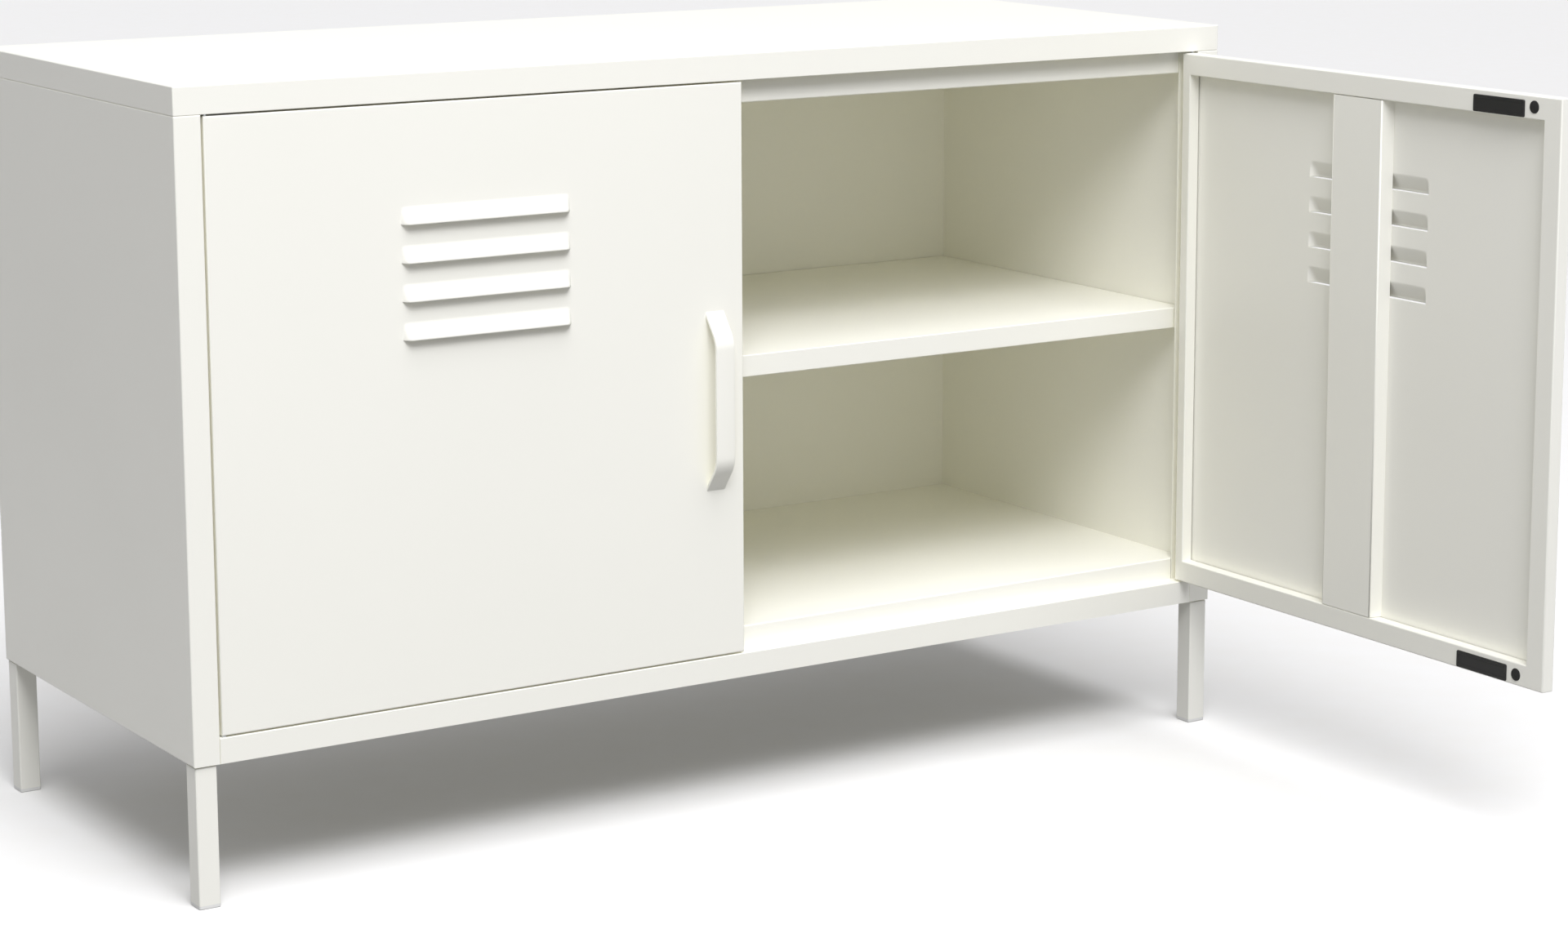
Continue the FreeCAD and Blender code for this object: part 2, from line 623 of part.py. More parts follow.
def shelf():
    """Loose full-width tray: front and rear lips with hems, shorter side lips that sit on the brackets."""
    body = carcassBody("shelf")
    edge = "width / 2 - liner_inset - shelf_play"
    inside = "(%s) - sheet" % edge
    outer = block("-(%s)" % edge, edge, shelf_front, shelf_back)
    grow(body, "Tray", "z", [outer], shelf_low, "shelf_lip")
    cavity = block("-(%s)" % inside, inside, shelf_front + " + sheet", shelf_back + " - sheet")
    cut(body, "Inside", "z", [cavity], shelf_low + " + sheet", "shelf_lip - 2 * sheet")
    mouth = block("-(%s)" % inside, inside, shelf_front + " + shelf_hem", shelf_back + " - shelf_hem")
    cut(body, "Mouth", "z", [mouth], shelf_low, "2 * sheet")
    relief = block("-(%s) - sheet" % edge, "%s + sheet" % edge, shelf_front + " + shelf_hem",
                   shelf_back + " - shelf_hem")
    cut(body, "SideRelief", "z", [relief], shelf_low + " - sheet", "shelf_lip - shelf_side_lip + sheet")
    front = size("stop_back") + size("shelf_setback")
    smooth(body, "Bends", "sheet", {"YMin": front, "ZMin": size("shelf_top")},
           {"YMin": front, "ZMin": size("shelf_top") - size("shelf_lip")})


def shelfStiffener():
    """Hat channel glued under the shelf, front to back at its middle."""
    trayStiffener("shelf_stiffener", "shelf_top - sheet", shelf_front + " + shelf_hem")


def shelfBracket(side):
    """Angle on the side liner; the shelf's side lip sits on it."""
    top = "shelf_top - shelf_side_lip - shelf_seat"
    start = shelf_front + " + shelf_hem + ledge_end"
    end = shelf_back + " - shelf_hem - ledge_end"
    sideAngle("shelf_bracket_" + side, side, "liner_inset", top, start, end)


def hingeBracket(side):
    """Upper hinge angle on the header, hidden inside the cap; it carries the upper pin."""
    body = carcassBody("hinge_bracket_" + side)
    start = "%s - pivot_in + slip_gap" % hinge_in
    end = start + " + bracket_length"
    plate = block(inward(side, start), inward(side, end), "sheet + fit_gap", "stop_back")
    pin = disc(inward(side, hinge_in), "pivot_back", "pin_dia")
    grow(body, "Plate", "z", [plate, pin], body_top + " + bracket_gap", "plate_thick")
    near = inward(side, stop_edge + " + lip_gap")
    upright = block(near, inward(side, end), "stop_back - plate_thick", "stop_back")
    low = body_top + " + bracket_gap + 0.5 * plate_thick"
    grow(body, "Upright", "z", [upright], low, "bracket_leg")


def hingePins(side):
    """Upper pin in the bracket and lower pin in the rail's ledge."""
    x, y = inward(side, hinge_in), "pivot_back - depth / 2"
    top = body_top + " + bracket_gap + plate_thick"
    upper_low = "(%s - pin_reach)" % door_top
    shank = rod("UpperShank_" + side, "pin_dia", x, y, upper_low, top + " - " + upper_low)
    head = rod("UpperHead_" + side, "pin_head", x, y, top, "sheet")
    group("%s_hinge_pin_upper" % side, [joined("UpperPin_" + side, shank, head)])
    low = ledge_top + " - sheet"
    shank = rod("LowerShank_" + side, "pin_dia", x, y, low, "sheet + door_gap_low + pin_reach")
    head = rod("LowerHead_" + side, "pin_head", x, y, low + " - sheet", "sheet")
    group("%s_hinge_pin_lower" % side, [joined("LowerPin_" + side, shank, head)])
    ring = rod("Washer_" + side, "washer_dia", x, y, ledge_top, "washer_thick")
    hole = rod("WasherHole_" + side, "pin_dia + pin_play", x, y, ledge_top + " - 1", "washer_thick + 2")
    group("%s_hinge_washer" % side, [pierced("HingeWasher_" + side, ring, hole)])


def doorPanel(side):
    """Folded door: skin, edges, back flanges with returns, louvres, and cut-outs for magnets and bumpers."""
    body = doorBody(side, "door_panel")
    low, high = "%s - %s" % (door_top, door_low), door_low

    def ring(inset_hinge, inset_free, inset_ends):
        return block(across(side, inset_hinge), across(side, "%s - (%s)" % (door_width, inset_free)),
                     "%s + %s" % (high, inset_ends), "%s - (%s)" % (door_top, inset_ends))

    whole = ring("0", "0", "0")
    grow(body, "Block", "y", [whole], behind("0"), "door_thick")
    hinge_edge = -sides[side] * -size("pivot_in")
    free_edge = hinge_edge - sides[side] * doorWidth()
    front, back = -size("pivot_back"), size("door_thick") - size("pivot_back")
    top, bottom = doorHeights()
    upright = [{"XMin": x, "YMin": y} for x in (hinge_edge, free_edge) for y in (front, back)]
    level = [{"ZMin": z, "YMin": y} for z in (top, bottom) for y in (front, back)]
    smooth(body, "Bends", "bend", *(upright + level))
    recess = ring("frame_hinge", "frame_free", "frame_ends")
    returns = ring("frame_hinge - sheet", "frame_free - sheet", "frame_ends - sheet")
    inside = ring("frame_hinge - 2 * sheet", "frame_free - 2 * sheet", "frame_ends - 2 * sheet")
    hollow = ring("sheet", "sheet", "sheet")
    cut(body, "Recess", "y", [recess], behind("sheet"), "door_thick")
    cut(body, "Channel", "y", [hollow, returns], behind("sheet"), "door_thick - 2 * sheet")
    cut(body, "Slit", "y", [inside, recess], behind("sheet"), "frame_slit")
    magnetCutouts(body, side)
    pin = disc(across(side, "pivot_in"), behind("pivot_back"), "pin_dia + pin_play")
    cut(body, "PinHoleTop", "z", [pin], door_top + " - 2 * sheet", "3 * sheet")
    cut(body, "PinHoleLow", "z", [pin], door_low + " - sheet", "3 * sheet")
    louvres(body, side)


def doorWidth():
    """The door's width as a number, for picking edges."""
    return (size("width") - 2 * size("face_width") - 2 * size("door_gap_side") - size("door_gap_mid")) / 2


def doorHeights():
    """The door's top and bottom as numbers, for picking edges."""
    low = size("leg_clear") + size("rail_height") + size("door_gap_low")
    return size("leg_clear") + size("body_height") - size("door_gap_top"), low


def magnetSpots(side):
    """Loops of the two magnets and the two bumpers, grown by a play on every side."""
    def loops(play):
        near = across(side, "%s - magnet_inset + %s" % (door_width, play))
        far = across(side, "%s - magnet_inset - magnet_length - %s" % (door_width, play))
        upper = "%s - magnet_margin_top + %s" % (door_top, play)
        lower = "%s + magnet_margin_low - %s" % (door_low, play)
        tall = "magnet_height + 2 * " + play
        knob = across(side, "%s - bumper_inset" % door_width)
        round_hole = "bumper_dia + 2 * " + play
        return {
            "magnet_upper": block(near, far, "%s - (%s)" % (upper, tall), upper),
            "magnet_lower": block(near, far, lower, "%s + %s" % (lower, tall)),
            "bumper_upper": disc(knob, door_top + " - bumper_drop", round_hole),
            "bumper_lower": disc(knob, door_low + " + bumper_drop", round_hole),
        }
    return loops


def magnetCutouts(body, side):
    """Openings in the back flange for the magnets and bumpers."""
    loops = magnetSpots(side)("seat_play")
    cut(body, "CatchCutouts", "y", list(loops.values()), behind("door_thick - 2 * sheet"), "3 * sheet")


def louvres(body, side):
    """Pressed hoods, open downwards, with a slot behind each."""
    middle = "%s / 2" % door_width
    top = "%s - louvre_drop" % door_top
    low = "%s - louvre_height" % top
    knee = "%s + louvre_lip" % low
    out = behind("-louvre_out")
    hood = [(behind("0.5 * sheet"), top), (out, knee), (out, low), (behind("0.5 * sheet"), low)]
    start = "(%s) - louvre_length / 2" % across(side, middle)
    outer = grow(body, "Hood", "x", [hood], start, "louvre_length")
    run, drop = "(louvre_out + 0.5 * sheet)", "(louvre_height - louvre_lip)"
    wall = "(sheet * sqrt(%s * %s + %s * %s) / %s)" % (run, run, drop, drop, drop)
    inner = [
        (behind("2 * sheet"), "%s + (1.5 * sheet - %s) * %s / %s" % (top, wall, drop, run)),
        (behind("sheet - louvre_out"), "%s - (%s - sheet) * %s / %s" % (knee, wall, drop, run)),
        (behind("sheet - louvre_out"), low), (behind("2 * sheet"), low),
    ]
    hollow = cut(body, "HoodInside", "x", [inner], start + " + sheet", "louvre_length - 2 * sheet")
    pattern = body.newObject("PartDesign::LinearPattern", "Louvres")
    pattern.Originals = [outer, hollow]
    upright = next(o for o in body.Origin.OriginFeatures if o.Role == "Z_Axis")
    pattern.Direction = (upright, [""])
    pattern.Reversed = True
    pattern.Occurrences = louvreCount
    bind(pattern, Length="%d * louvre_pitch" % (louvreCount - 1))
    body.Tip = pattern
    doc.recompute()


def doorStiffener(side):
    """Trapezoid channel glued to the skin between the top and bottom flanges."""
    body = doorBody(side, "door_stiffener")
    middle = "%s / 2 - hat_shift" % door_width
    back, front = behind("door_thick"), behind("sheet")
    half_top, half_base = "hat_top / 2", "hat_base / 2"

    def place(offset):
        return across(side, "%s + (%s)" % (middle, offset))

    hat = [
        (place("-(%s)" % half_base), front), (place("-(%s)" % half_top), back), (place(half_top), back),
        (place(half_base), front), (place(half_base + " - sheet"), front),
        (place(half_top + " - sheet"), behind("door_thick - sheet")),
        (place("sheet - " + half_top), behind("door_thick - sheet")), (place("sheet - " + half_base), front),
    ]
    grow(body, "Hat", "z", [hat], "%s + frame_ends + fit_gap" % door_low,
         "%s - %s - 2 * frame_ends - 2 * fit_gap" % (door_top, door_low))


def doorHandle(side):
    """Strap bent into a bow, with its ends flat against the skin."""
    body = doorBody(side, "handle")
    middle = "(%s + %s) / 2 - handle_drop" % (door_top, door_low)
    run = "(handle_out - handle_thick)"
    lean = "handle_thick * (sqrt(%s * %s + handle_rise * handle_rise) - handle_rise) / %s" % (run, run, run)
    foot_end = "handle_height / 2 - handle_foot"
    grip_end = "handle_height / 2 - handle_foot - handle_rise"
    half = [
        ("-handle_thick", "handle_height / 2"), ("-handle_thick", foot_end), ("-handle_out", grip_end),
    ]
    inside = [
        ("handle_thick - handle_out", "%s - %s" % (grip_end, lean)), ("0", "%s - %s" % (foot_end, lean)),
        ("0", "handle_height / 2"),
    ]
    strap = half + [(v, "-(%s)" % z) for v, z in reversed(half)]
    strap += [(v, "-(%s)" % z) for v, z in reversed(inside)] + inside
    profile = [(behind(v), "%s + (%s)" % (middle, z)) for v, z in strap]
    start = across(side, "%s - handle_inset" % door_width) + " - handle_width / 2"
    grow(body, "Strap", "x", [profile], start, "handle_width")


def doorCatches(side):
    """Magnets and bumpers in the back flange, a little proud of it."""
    loops = magnetSpots(side)("0")
    for part, loop in loops.items():
        body = doorBody(side, part)
        deep = "door_thick - 2 * sheet - frame_slit" if "magnet" in part else "bumper_thick"
        grow(body, "Block", "y", [loop], behind("door_thick + magnet_proud - (%s)" % deep), deep)


def pivotPlates(side):
    """Plates inside the door's hinge corners that take the pins, slotted to the door's edge wall."""
    pin = disc(across(side, "pivot_in"), behind("pivot_back"), "pin_dia + pin_play")
    edge = across(side, "sheet + slip_gap")
    inner = across(side, "frame_hinge - sheet - slip_gap")
    plate = block(edge, inner, behind("sheet + slip_gap"), behind("door_thick - sheet - slip_gap"))
    half = "(pin_dia + pin_play) / 2"
    slot = block(across(side, "0"), across(side, "pivot_in"), "-" + half, half)
    seats = {"upper": door_top + " - sheet - plate_thick", "lower": door_low + " + sheet"}
    for end, low in seats.items():
        body = doorBody(side, "pivot_plate_" + end)
        grow(body, "Plate", "z", [plate], low, "plate_thick")
        cut(body, "Pin", "z", [pin], low + " - plate_thick", "3 * plate_thick")
        cut(body, "Slot", "z", [slot], low + " - plate_thick", "3 * plate_thick")


def build():
    """Every piece, carcass first."""
    topCap()
    for side in sides:
        sidePanel(side)
        sideLiner(side)
        shelfBracket(side)
        floorBracket(side)
        hingeBracket(side)
        hingePins(side)
    backPanel()
    floorPan()
    frontRail()
    headerRail()
    trayStiffener("cap_stiffener", cap_top + " - sheet", "stop_back + header_flange")
    trayStiffener("floor_stiffener", floor_top + " - sheet", "stop_back")
    for spot, (x, y) in legSpots().items():
        leg(spot, x, y)
        foot(spot, x, y)
    legFixings()
    capScrews()
    shelf()
    shelfStiffener()
    for side in sides:
        doorPanel(side)
        doorStiffener(side)
        doorHandle(side)
        doorCatches(side)
        pivotPlates(side)


def check():
    """Stop if any object failed or any piece is missing or broken."""
    bad = [o.Label for o in doc.Objects if {"Invalid", "Error"} & set(o.State)]
    if bad:
        raise RuntimeError("failed objects: %s" % bad)
    for node in nodes:
        if node.Shape.isNull() or not node.Shape.isValid() or not node.Shape.Solids:
            raise RuntimeError("broken shape: %s" % node.Label)


def write():
    """One STEP file for each piece."""
    os.makedirs("parts", exist_ok=True)
    for node in nodes:
        node.Shape.exportStep("parts/%s.step" % node.Label)
    print("%d pieces, %d solids" % (len(nodes), sum(len(n.Shape.Solids) for n in nodes)))


build()
doc.recompute()
check()
write()
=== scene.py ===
import bmesh
import bpy
import json
import math
from mathutils import Matrix, Vector


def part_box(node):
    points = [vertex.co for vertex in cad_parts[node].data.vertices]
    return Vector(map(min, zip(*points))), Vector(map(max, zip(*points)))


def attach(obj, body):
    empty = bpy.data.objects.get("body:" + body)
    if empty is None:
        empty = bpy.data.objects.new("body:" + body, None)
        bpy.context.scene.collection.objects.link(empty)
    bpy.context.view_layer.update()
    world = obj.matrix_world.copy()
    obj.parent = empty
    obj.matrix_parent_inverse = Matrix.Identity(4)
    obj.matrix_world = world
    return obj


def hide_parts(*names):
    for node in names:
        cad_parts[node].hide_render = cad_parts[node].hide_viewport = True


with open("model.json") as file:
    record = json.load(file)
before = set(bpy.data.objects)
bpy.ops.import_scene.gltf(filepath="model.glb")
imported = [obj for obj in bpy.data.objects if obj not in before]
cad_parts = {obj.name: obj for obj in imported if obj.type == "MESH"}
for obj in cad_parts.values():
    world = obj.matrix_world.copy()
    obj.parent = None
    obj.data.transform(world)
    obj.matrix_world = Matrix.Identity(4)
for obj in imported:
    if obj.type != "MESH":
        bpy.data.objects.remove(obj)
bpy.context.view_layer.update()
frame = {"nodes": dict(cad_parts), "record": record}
nodes = frame["nodes"]
mm = 0.001
sameSpot = 1e-6  # metres; points this close count as one
doorSides = ("left", "right")
print("frame loaded:", len(nodes), "nodes")

cameraSetup = {
    "place": (-1.5834, -2.7550, 0.9160),  # metres, in front of the left corner and above the cap
    "heading": 33.43,  # degrees from straight ahead towards the right
    "tilt": 10.16,  # degrees down
    "lens": 84.25,  # millimetres, as is the sensor
    "sensor": 36,
    "shift": (-0.0405, -0.06),
}


def addCamera(setup):
    data = bpy.data.cameras.new("camera")
    data.lens, data.sensor_width = setup["lens"], setup["sensor"]
    data.shift_x, data.shift_y = setup["shift"]
    camera = bpy.data.objects.new("camera", data)
    camera.location = setup["place"]
    camera.rotation_euler = (math.radians(90 - setup["tilt"]), 0, math.radians(-setup["heading"]))
    bpy.context.scene.collection.objects.link(camera)
    bpy.context.scene.camera = camera


def hexColour(text):  # an sRGB hex value as linear RGBA
    channels = [int(text[i:i + 2], 16) / 255 for i in (1, 3, 5)]
    return [c / 12.92 if c <= 0.04045 else ((c + 0.055) / 1.055) ** 2.4 for c in channels] + [1.0]


def addNode(tree, kind, settings=None, feeds=None):
    # one node with its settings; a feed is a constant, a socket, or a node whose first output is taken
    node = tree.nodes.new(kind)
    for name, value in (settings or {}).items():
        setattr(node, name, value)
    for socket, source in (feeds or {}).items():
        if isinstance(source, bpy.types.Node):
            source = source.outputs[0]
        if isinstance(source, bpy.types.NodeSocket):
            tree.links.new(source, node.inputs[socket])
        else:
            node.inputs[socket].default_value = source
    return node


studio = {
    "skyColour": "#FBFBFF",
    "skyStrength": 0.45,
    "horizonStrength": 0.6,  # the far end of the studio, level with the floor
    "groundStrength": 0.25,  # what the floor sends back up
    "horizonEdge": 0.01,  # where the horizon's glow starts to fade, as the sine of the angle
    "horizonHeight": 0.12,  # and where it ends, both up and down
    "key": {
        "right": -4,  # degrees from the front
        "up": 66,  # degrees from the floor
        "spread": 46,  # degrees
        "strength": 2.1,
    },
    "fill": {  # metres
        "place": (-0.8, -2.2, 2.6),
        "aim": (0.1, -0.2, 0.35),
        "wide": 1.6,
        "high": 1.2,
        "watts": 50,
    },
    "lampColour": "#FBFBFF",
    "floorSize": 160,  # metres
    "bounces": 12,  # between the pale walls inside the cabinet
}


def addSky(setup):
    # even light from all around, with a glow level with the floor that fades both up and down
    world = bpy.data.worlds.new("studio")
    bpy.context.scene.world = world
    world.use_nodes = True
    tree = world.node_tree
    way = addNode(tree, "ShaderNodeTexCoord").outputs["Generated"]
    height = addNode(tree, "ShaderNodeSeparateXYZ", feeds={0: way}).outputs["Z"]
    fades = []
    for sign, far in ((1, setup["skyStrength"]), (-1, setup["groundStrength"])):
        fades.append(addNode(tree, "ShaderNodeMapRange", {"interpolation_type": "SMOOTHSTEP"},
                             {"Value": height, "From Min": sign * setup["horizonEdge"],
                              "From Max": sign * setup["horizonHeight"],
                              "To Min": setup["horizonStrength"], "To Max": far}))
    fade = addNode(tree, "ShaderNodeMath", {"operation": "MINIMUM"}, {0: fades[0], 1: fades[1]})
    sky = tree.nodes["Background"]
    sky.inputs["Color"].default_value = hexColour(setup["skyColour"])
    tree.links.new(fade.outputs[0], sky.inputs["Strength"])


def addLamps(setup):
    # a high, soft key light and a wide panel in front that opens up the shadows
    key, fill = setup["key"], setup["fill"]
    sun = bpy.data.lights.new("key", "SUN")
    sun.energy, sun.angle = key["strength"], math.radians(key["spread"])
    panel = bpy.data.lights.new("fill", "AREA")
    panel.shape = "RECTANGLE"
    panel.size, panel.size_y, panel.energy = fill["wide"], fill["high"], fill["watts"]
    aim = (Vector(fill["aim"]) - Vector(fill["place"])).to_track_quat("-Z", "Y").to_euler()
    turns = {"key": (math.radians(90 - key["up"]), 0, math.radians(key["right"])), "fill": aim}
    for data in (sun, panel):
        data.color = hexColour(setup["lampColour"])[:3]
        lamp = bpy.data.objects.new(data.name, data)
        lamp.location = fill["place"]  # a sun shines alike from anywhere
        lamp.rotation_euler = turns[data.name]
        lamp.visible_camera = False
        bpy.context.scene.collection.objects.link(lamp)


addCamera(cameraSetup)
addSky(studio)
addLamps(studio)
bpy.context.scene.view_settings.view_transform = "Standard"
bpy.context.scene.cycles.diffuse_bounces = studio["bounces"]
print("camera and lights set")


def newMaterial(name):
    material = bpy.data.materials.new(name)
    material.use_nodes = True
    tree = material.node_tree
    place = addNode(tree, "ShaderNodeTexCoord").outputs["Object"]
    return material, tree, tree.nodes["Principled BSDF"], place


def addTone(tree, shader, place, setup):
    # the base colour wanders between the finish's two tones, over spots as wide as its grain
    spots = addNode(tree, "ShaderNodeTexNoise",
                    feeds={"Vector": place, "Scale": 1 / (setup["grain"] * mm), "Detail": setup["detail"]})
    tone = addNode(tree, "ShaderNodeMix", {"data_type": "RGBA"},
                   {0: spots, 6: hexColour(setup["colour"]), 7: hexColour(setup["shade"])})
    tree.links.new(tone.outputs[2], shader.inputs["Base Color"])
    return spots


def addGloss(tree, shader, spots, setup):
    # the roughness follows the same spots
    gloss = addNode(tree, "ShaderNodeMapRange",
                    feeds={"Value": spots, "To Min": setup["smoothest"], "To Max": setup["dullest"]})
    tree.links.new(gloss.outputs["Result"], shader.inputs["Roughness"])


powderCoat = {  # sizes in millimetres
    "colour": "#F9F8EE",
    "shade": "#F7F6EC",  # the same paint where the film is a little thicker
    "grain": 140,  # slow change of tone over a panel
    "detail": 2.0,
    "smoothest": 0.39,
    "dullest": 0.46,
    "peelSize": 3.2,  # between the film's ripples; the real ones are 1 to 2 mm, too fine to show
    "peelHeight": 0.012,
    "peelDetail": 1.5,
    "peelRoughness": 0.4,
    "peelStrength": 0.4,
    "ior": 1.5,
}


def makePowderCoat(setup):
    # polyester powder coat, sprayed dry on steel and baked: warm white, satin, with a faint orange peel
    material, tree, shader, place = newMaterial("polyesterPowderCoat")
    addGloss(tree, shader, addTone(tree, shader, place, setup), setup)
    peel = addNode(tree, "ShaderNodeTexNoise",
                   feeds={"Vector": place, "Scale": 1 / (setup["peelSize"] * mm),
                          "Detail": setup["peelDetail"], "Roughness": setup["peelRoughness"]})
    bump = addNode(tree, "ShaderNodeBump",
                   feeds={"Height": peel, "Strength": setup["peelStrength"],
                          "Distance": setup["peelHeight"] * mm})
    tree.links.new(bump.outputs["Normal"], shader.inputs["Normal"])
    shader.inputs["IOR"].default_value = setup["ior"]
    return material


zincPlate = {
    "colour": "#C4C6C8",
    "shade": "#AEB1B4",
    "grain": 0.6,  # millimetres
    "detail": 3.0,
    "smoothest": 0.28,
    "dullest": 0.42,
}


def makeZincPlate(setup):
    # bright zinc plate on turned steel: cool grey metal, slightly clouded
    material, tree, shader, place = newMaterial("zincPlatedSteel")
    addGloss(tree, shader, addTone(tree, shader, place, setup), setup)
    shader.inputs["Metallic"].default_value = 1.0
    return material


moulded = {  # grain and height of each texture in millimetres
    # low-density polyethylene foot plugs: milky white, soft sheen
    "mouldedPolyethylene": {"colour": "#EEEEEA", "shade": "#E8E8E2", "roughness": 0.48,
                            "grain": 0.9, "height": 0.01, "detail": 2.0, "ior": 1.51},
    # glass-filled nylon magnet housings: near black, dull
    "glassFilledNylon": {"colour": "#1B1B1A", "shade": "#232322", "roughness": 0.55,
                         "grain": 0.5, "height": 0.015, "detail": 2.0, "ior": 1.53},
    # pressed nitrile rubber bumpers: near black, matt
    "nitrileRubber": {"colour": "#1D1D1C", "shade": "#252524", "roughness": 0.78,
                      "grain": 0.7, "height": 0.02, "detail": 2.0, "ior": 1.52},
    # rolled floor paint of the studio: pale, matt, softly uneven
    "mattFloorPaint": {"colour": "#F0EFEB", "shade": "#F2F2F0", "roughness": 0.8,
                       "grain": 40, "height": 0.05, "detail": 2.0, "ior": 1.45},
}
mouldedSkin = {"bump": 0.5, "shine": 0.3}  # a textured skin scatters most of its shine


def makeMoulded(name):
    # even colour with the fine texture of its mould or roller
    setup = moulded[name]
    material, tree, shader, place = newMaterial(name)
    grit = addTone(tree, shader, place, setup)
    bump = addNode(tree, "ShaderNodeBump",
                   feeds={"Height": grit, "Strength": mouldedSkin["bump"], "Distance": setup["height"] * mm})
    tree.links.new(bump.outputs["Normal"], shader.inputs["Normal"])
    shader.inputs["Roughness"].default_value = setup["roughness"]
    shader.inputs["IOR"].default_value = setup["ior"]
    shader.inputs["Specular IOR Level"].default_value = mouldedSkin["shine"]
    return material


paint = makePowderCoat(powderCoat)
zinc = makeZincPlate(zincPlate)
slotMaterials = {
    "white_steel": paint,
    "zinc_steel": zinc,
    "foot_plastic": makeMoulded("mouldedPolyethylene"),
    "catch_plastic": makeMoulded("glassFilledNylon"),
    "bumper_rubber": makeMoulded("nitrileRubber"),
}
print("materials made")


def meshFrom(name, bm, place=None):
    # a mesh from a bmesh drawn in metres, moved to its place; a mirrored place turns the faces back out
    if place is not None:
        bmesh.ops.transform(bm, matrix=place, verts=bm.verts)
    bmesh.ops.recalc_face_normals(bm, faces=bm.faces)
    mesh = bpy.data.meshes.new(name)
    bm.to_mesh(mesh)
    bm.free()
    return mesh


def addPiece(name, mesh, body, slot, replaced):
    # a finished mesh as a piece of the object, in place of the CAD node that it stands for
    mesh.materials.clear()
    mesh.materials.append(slotMaterials[slot])
    piece = bpy.data.objects.new(name, mesh)
    bpy.context.scene.collection.objects.link(piece)
    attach(piece, body)
    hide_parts(replaced)


def newTree(name, inputs):
    # an empty geometry tree with named inputs, and the sockets that carry them
    tree = bpy.data.node_groups.new(name, "GeometryNodeTree")
    tree.interface.new_socket("Geometry", in_out="INPUT", socket_type="NodeSocketGeometry")
    kinds = {int: "NodeSocketInt", float: "NodeSocketFloat", str: "NodeSocketObject"}
    for label, value in inputs.items():
        socket = tree.interface.new_socket(label, in_out="INPUT", socket_type=kinds[type(value)])
        if not isinstance(value, str):
            socket.default_value = value
    tree.interface.new_socket("Geometry", in_out="OUTPUT", socket_type="NodeSocketGeometry")
    return tree, addNode(tree, "NodeGroupInput").outputs


def closeTree(tree, geometry, material):
    # every tree ends as plain geometry with its material set
    real = addNode(tree, "GeometryNodeRealizeInstances", feeds={"Geometry": geometry})
    coated = addNode(tree, "GeometryNodeSetMaterial", feeds={"Geometry": real, "Material": material})
    addNode(tree, "NodeGroupOutput", feeds={0: coated})


def meshFromTree(name, tree, sizes, start=None):
    # what a tree makes of a starting mesh, as a plain mesh; its named sizes are set before it first runs
    holder = bpy.data.objects.new(name, start or bpy.data.meshes.new(name))
    bpy.context.scene.collection.objects.link(holder)
    modifier = holder.modifiers.new(name, "NODES")
    modifier.node_group = tree
    for item in tree.interface.items_tree:
        if item.in_out == "INPUT" and item.name in sizes:
            modifier[item.identifier] = sizes[item.name]
    graph = bpy.context.evaluated_depsgraph_get()
    mesh = bpy.data.meshes.new_from_object(holder.evaluated_get(graph), depsgraph=graph)
    holder.modifiers.clear()
    bpy.data.objects.remove(holder)
    return mesh


def quarter(steps):  # the angles of a quarter turn in equal steps
    return [math.radians(90 * i / steps) for i in range(steps + 1)]


def outline(bm, low, high, radius, level, steps):
    # a rounded rectangle in the X-Z plane at one Y level, anticlockwise from its lower right corner
    corners = [(high[0] - radius, low[1] + radius, -90), (high[0] - radius, high[1] - radius, 0),
               (low[0] + radius, high[1] - radius, 90), (low[0] + radius, low[1] + radius, 180)]
    ring = []
    for x, z, start in corners:
        for i in range(steps + 1):
            turn = math.radians(start + 90 * i / steps)
            ring.append(bm.verts.new((x + radius * math.cos(turn), level, z + radius * math.sin(turn))))
    return ring


def loft(bm, rings, smooth):
    # faces between successive rings of as many vertices; smooth says which of the bands are curved
    for band, (first, second) in enumerate(zip(rings, rings[1:])):
        for i in range(len(first)):
            j = (i + 1) % len(first)
            face = bm.faces.new((first[i], first[j], second[j], second[i]))
            face.smooth = smooth[band]


def closeEnds(bm, rings, softLast=False):
    # one face across the first ring and one across the last
    bm.faces.new(rings[0]).smooth = False
    bm.faces.new(rings[-1]).smooth = softLast


def loopEdges(bm, ring):
    pairs = zip(ring, ring[1:] + ring[:1])
    return [bm.edges.get(pair) or bm.edges.new(pair) for pair in pairs]


def fillPlane(bm, edges):
    # flat faces between closed loops that lie in one plane, with holes where loops lie inside others
    corners = list({v for edge in edges for v in edge.verts})
    bmesh.ops.scale(bm, vec=(1 / mm,) * 3, verts=corners)  # the fill merges points closer than 0.03 units
    bmesh.ops.triangle_fill(bm, use_beauty=True, use_dissolve=False, edges=edges)
    bmesh.ops.scale(bm, vec=(mm,) * 3, verts=corners)


def openEdges(bm):
    return sum(1 for edge in bm.edges if not edge.is_manifold)


door = {  # millimetres
    "thick": 12,
    "sheet": 0.8,
    "bend": 1.2,  # outer radius of the folds at the door's rim
    "returnBend": 1.1,  # outer radius of the fold where the back flange turns in
    "bendSteps": 5,
    "flangeHinge": 10.6,  # width of the back flange along the hinge edge
    "flangeFree": 19.6,  # along the free edge
    "flangeEnds": 19,  # and along the top and the bottom
    "slit": 1,  # left open between the return and the skin
    "corner": 0.7,  # ground corners of the folded rim
    "leastCorner": 0.15,  # where the corner's radius runs out inside the folds
    "cornerSteps": 3,
    "catchPlay": 0.1,  # around the magnets and bumpers in their openings
    "magnetCorner": 1.3,  # of the magnets' openings
    "catchSteps": {"magnet": 3, "bumper": 8},  # for each corner of an opening and of what sits in it
}
catchNames = ("magnet_upper", "magnet_lower", "bumper_upper", "bumper_lower")

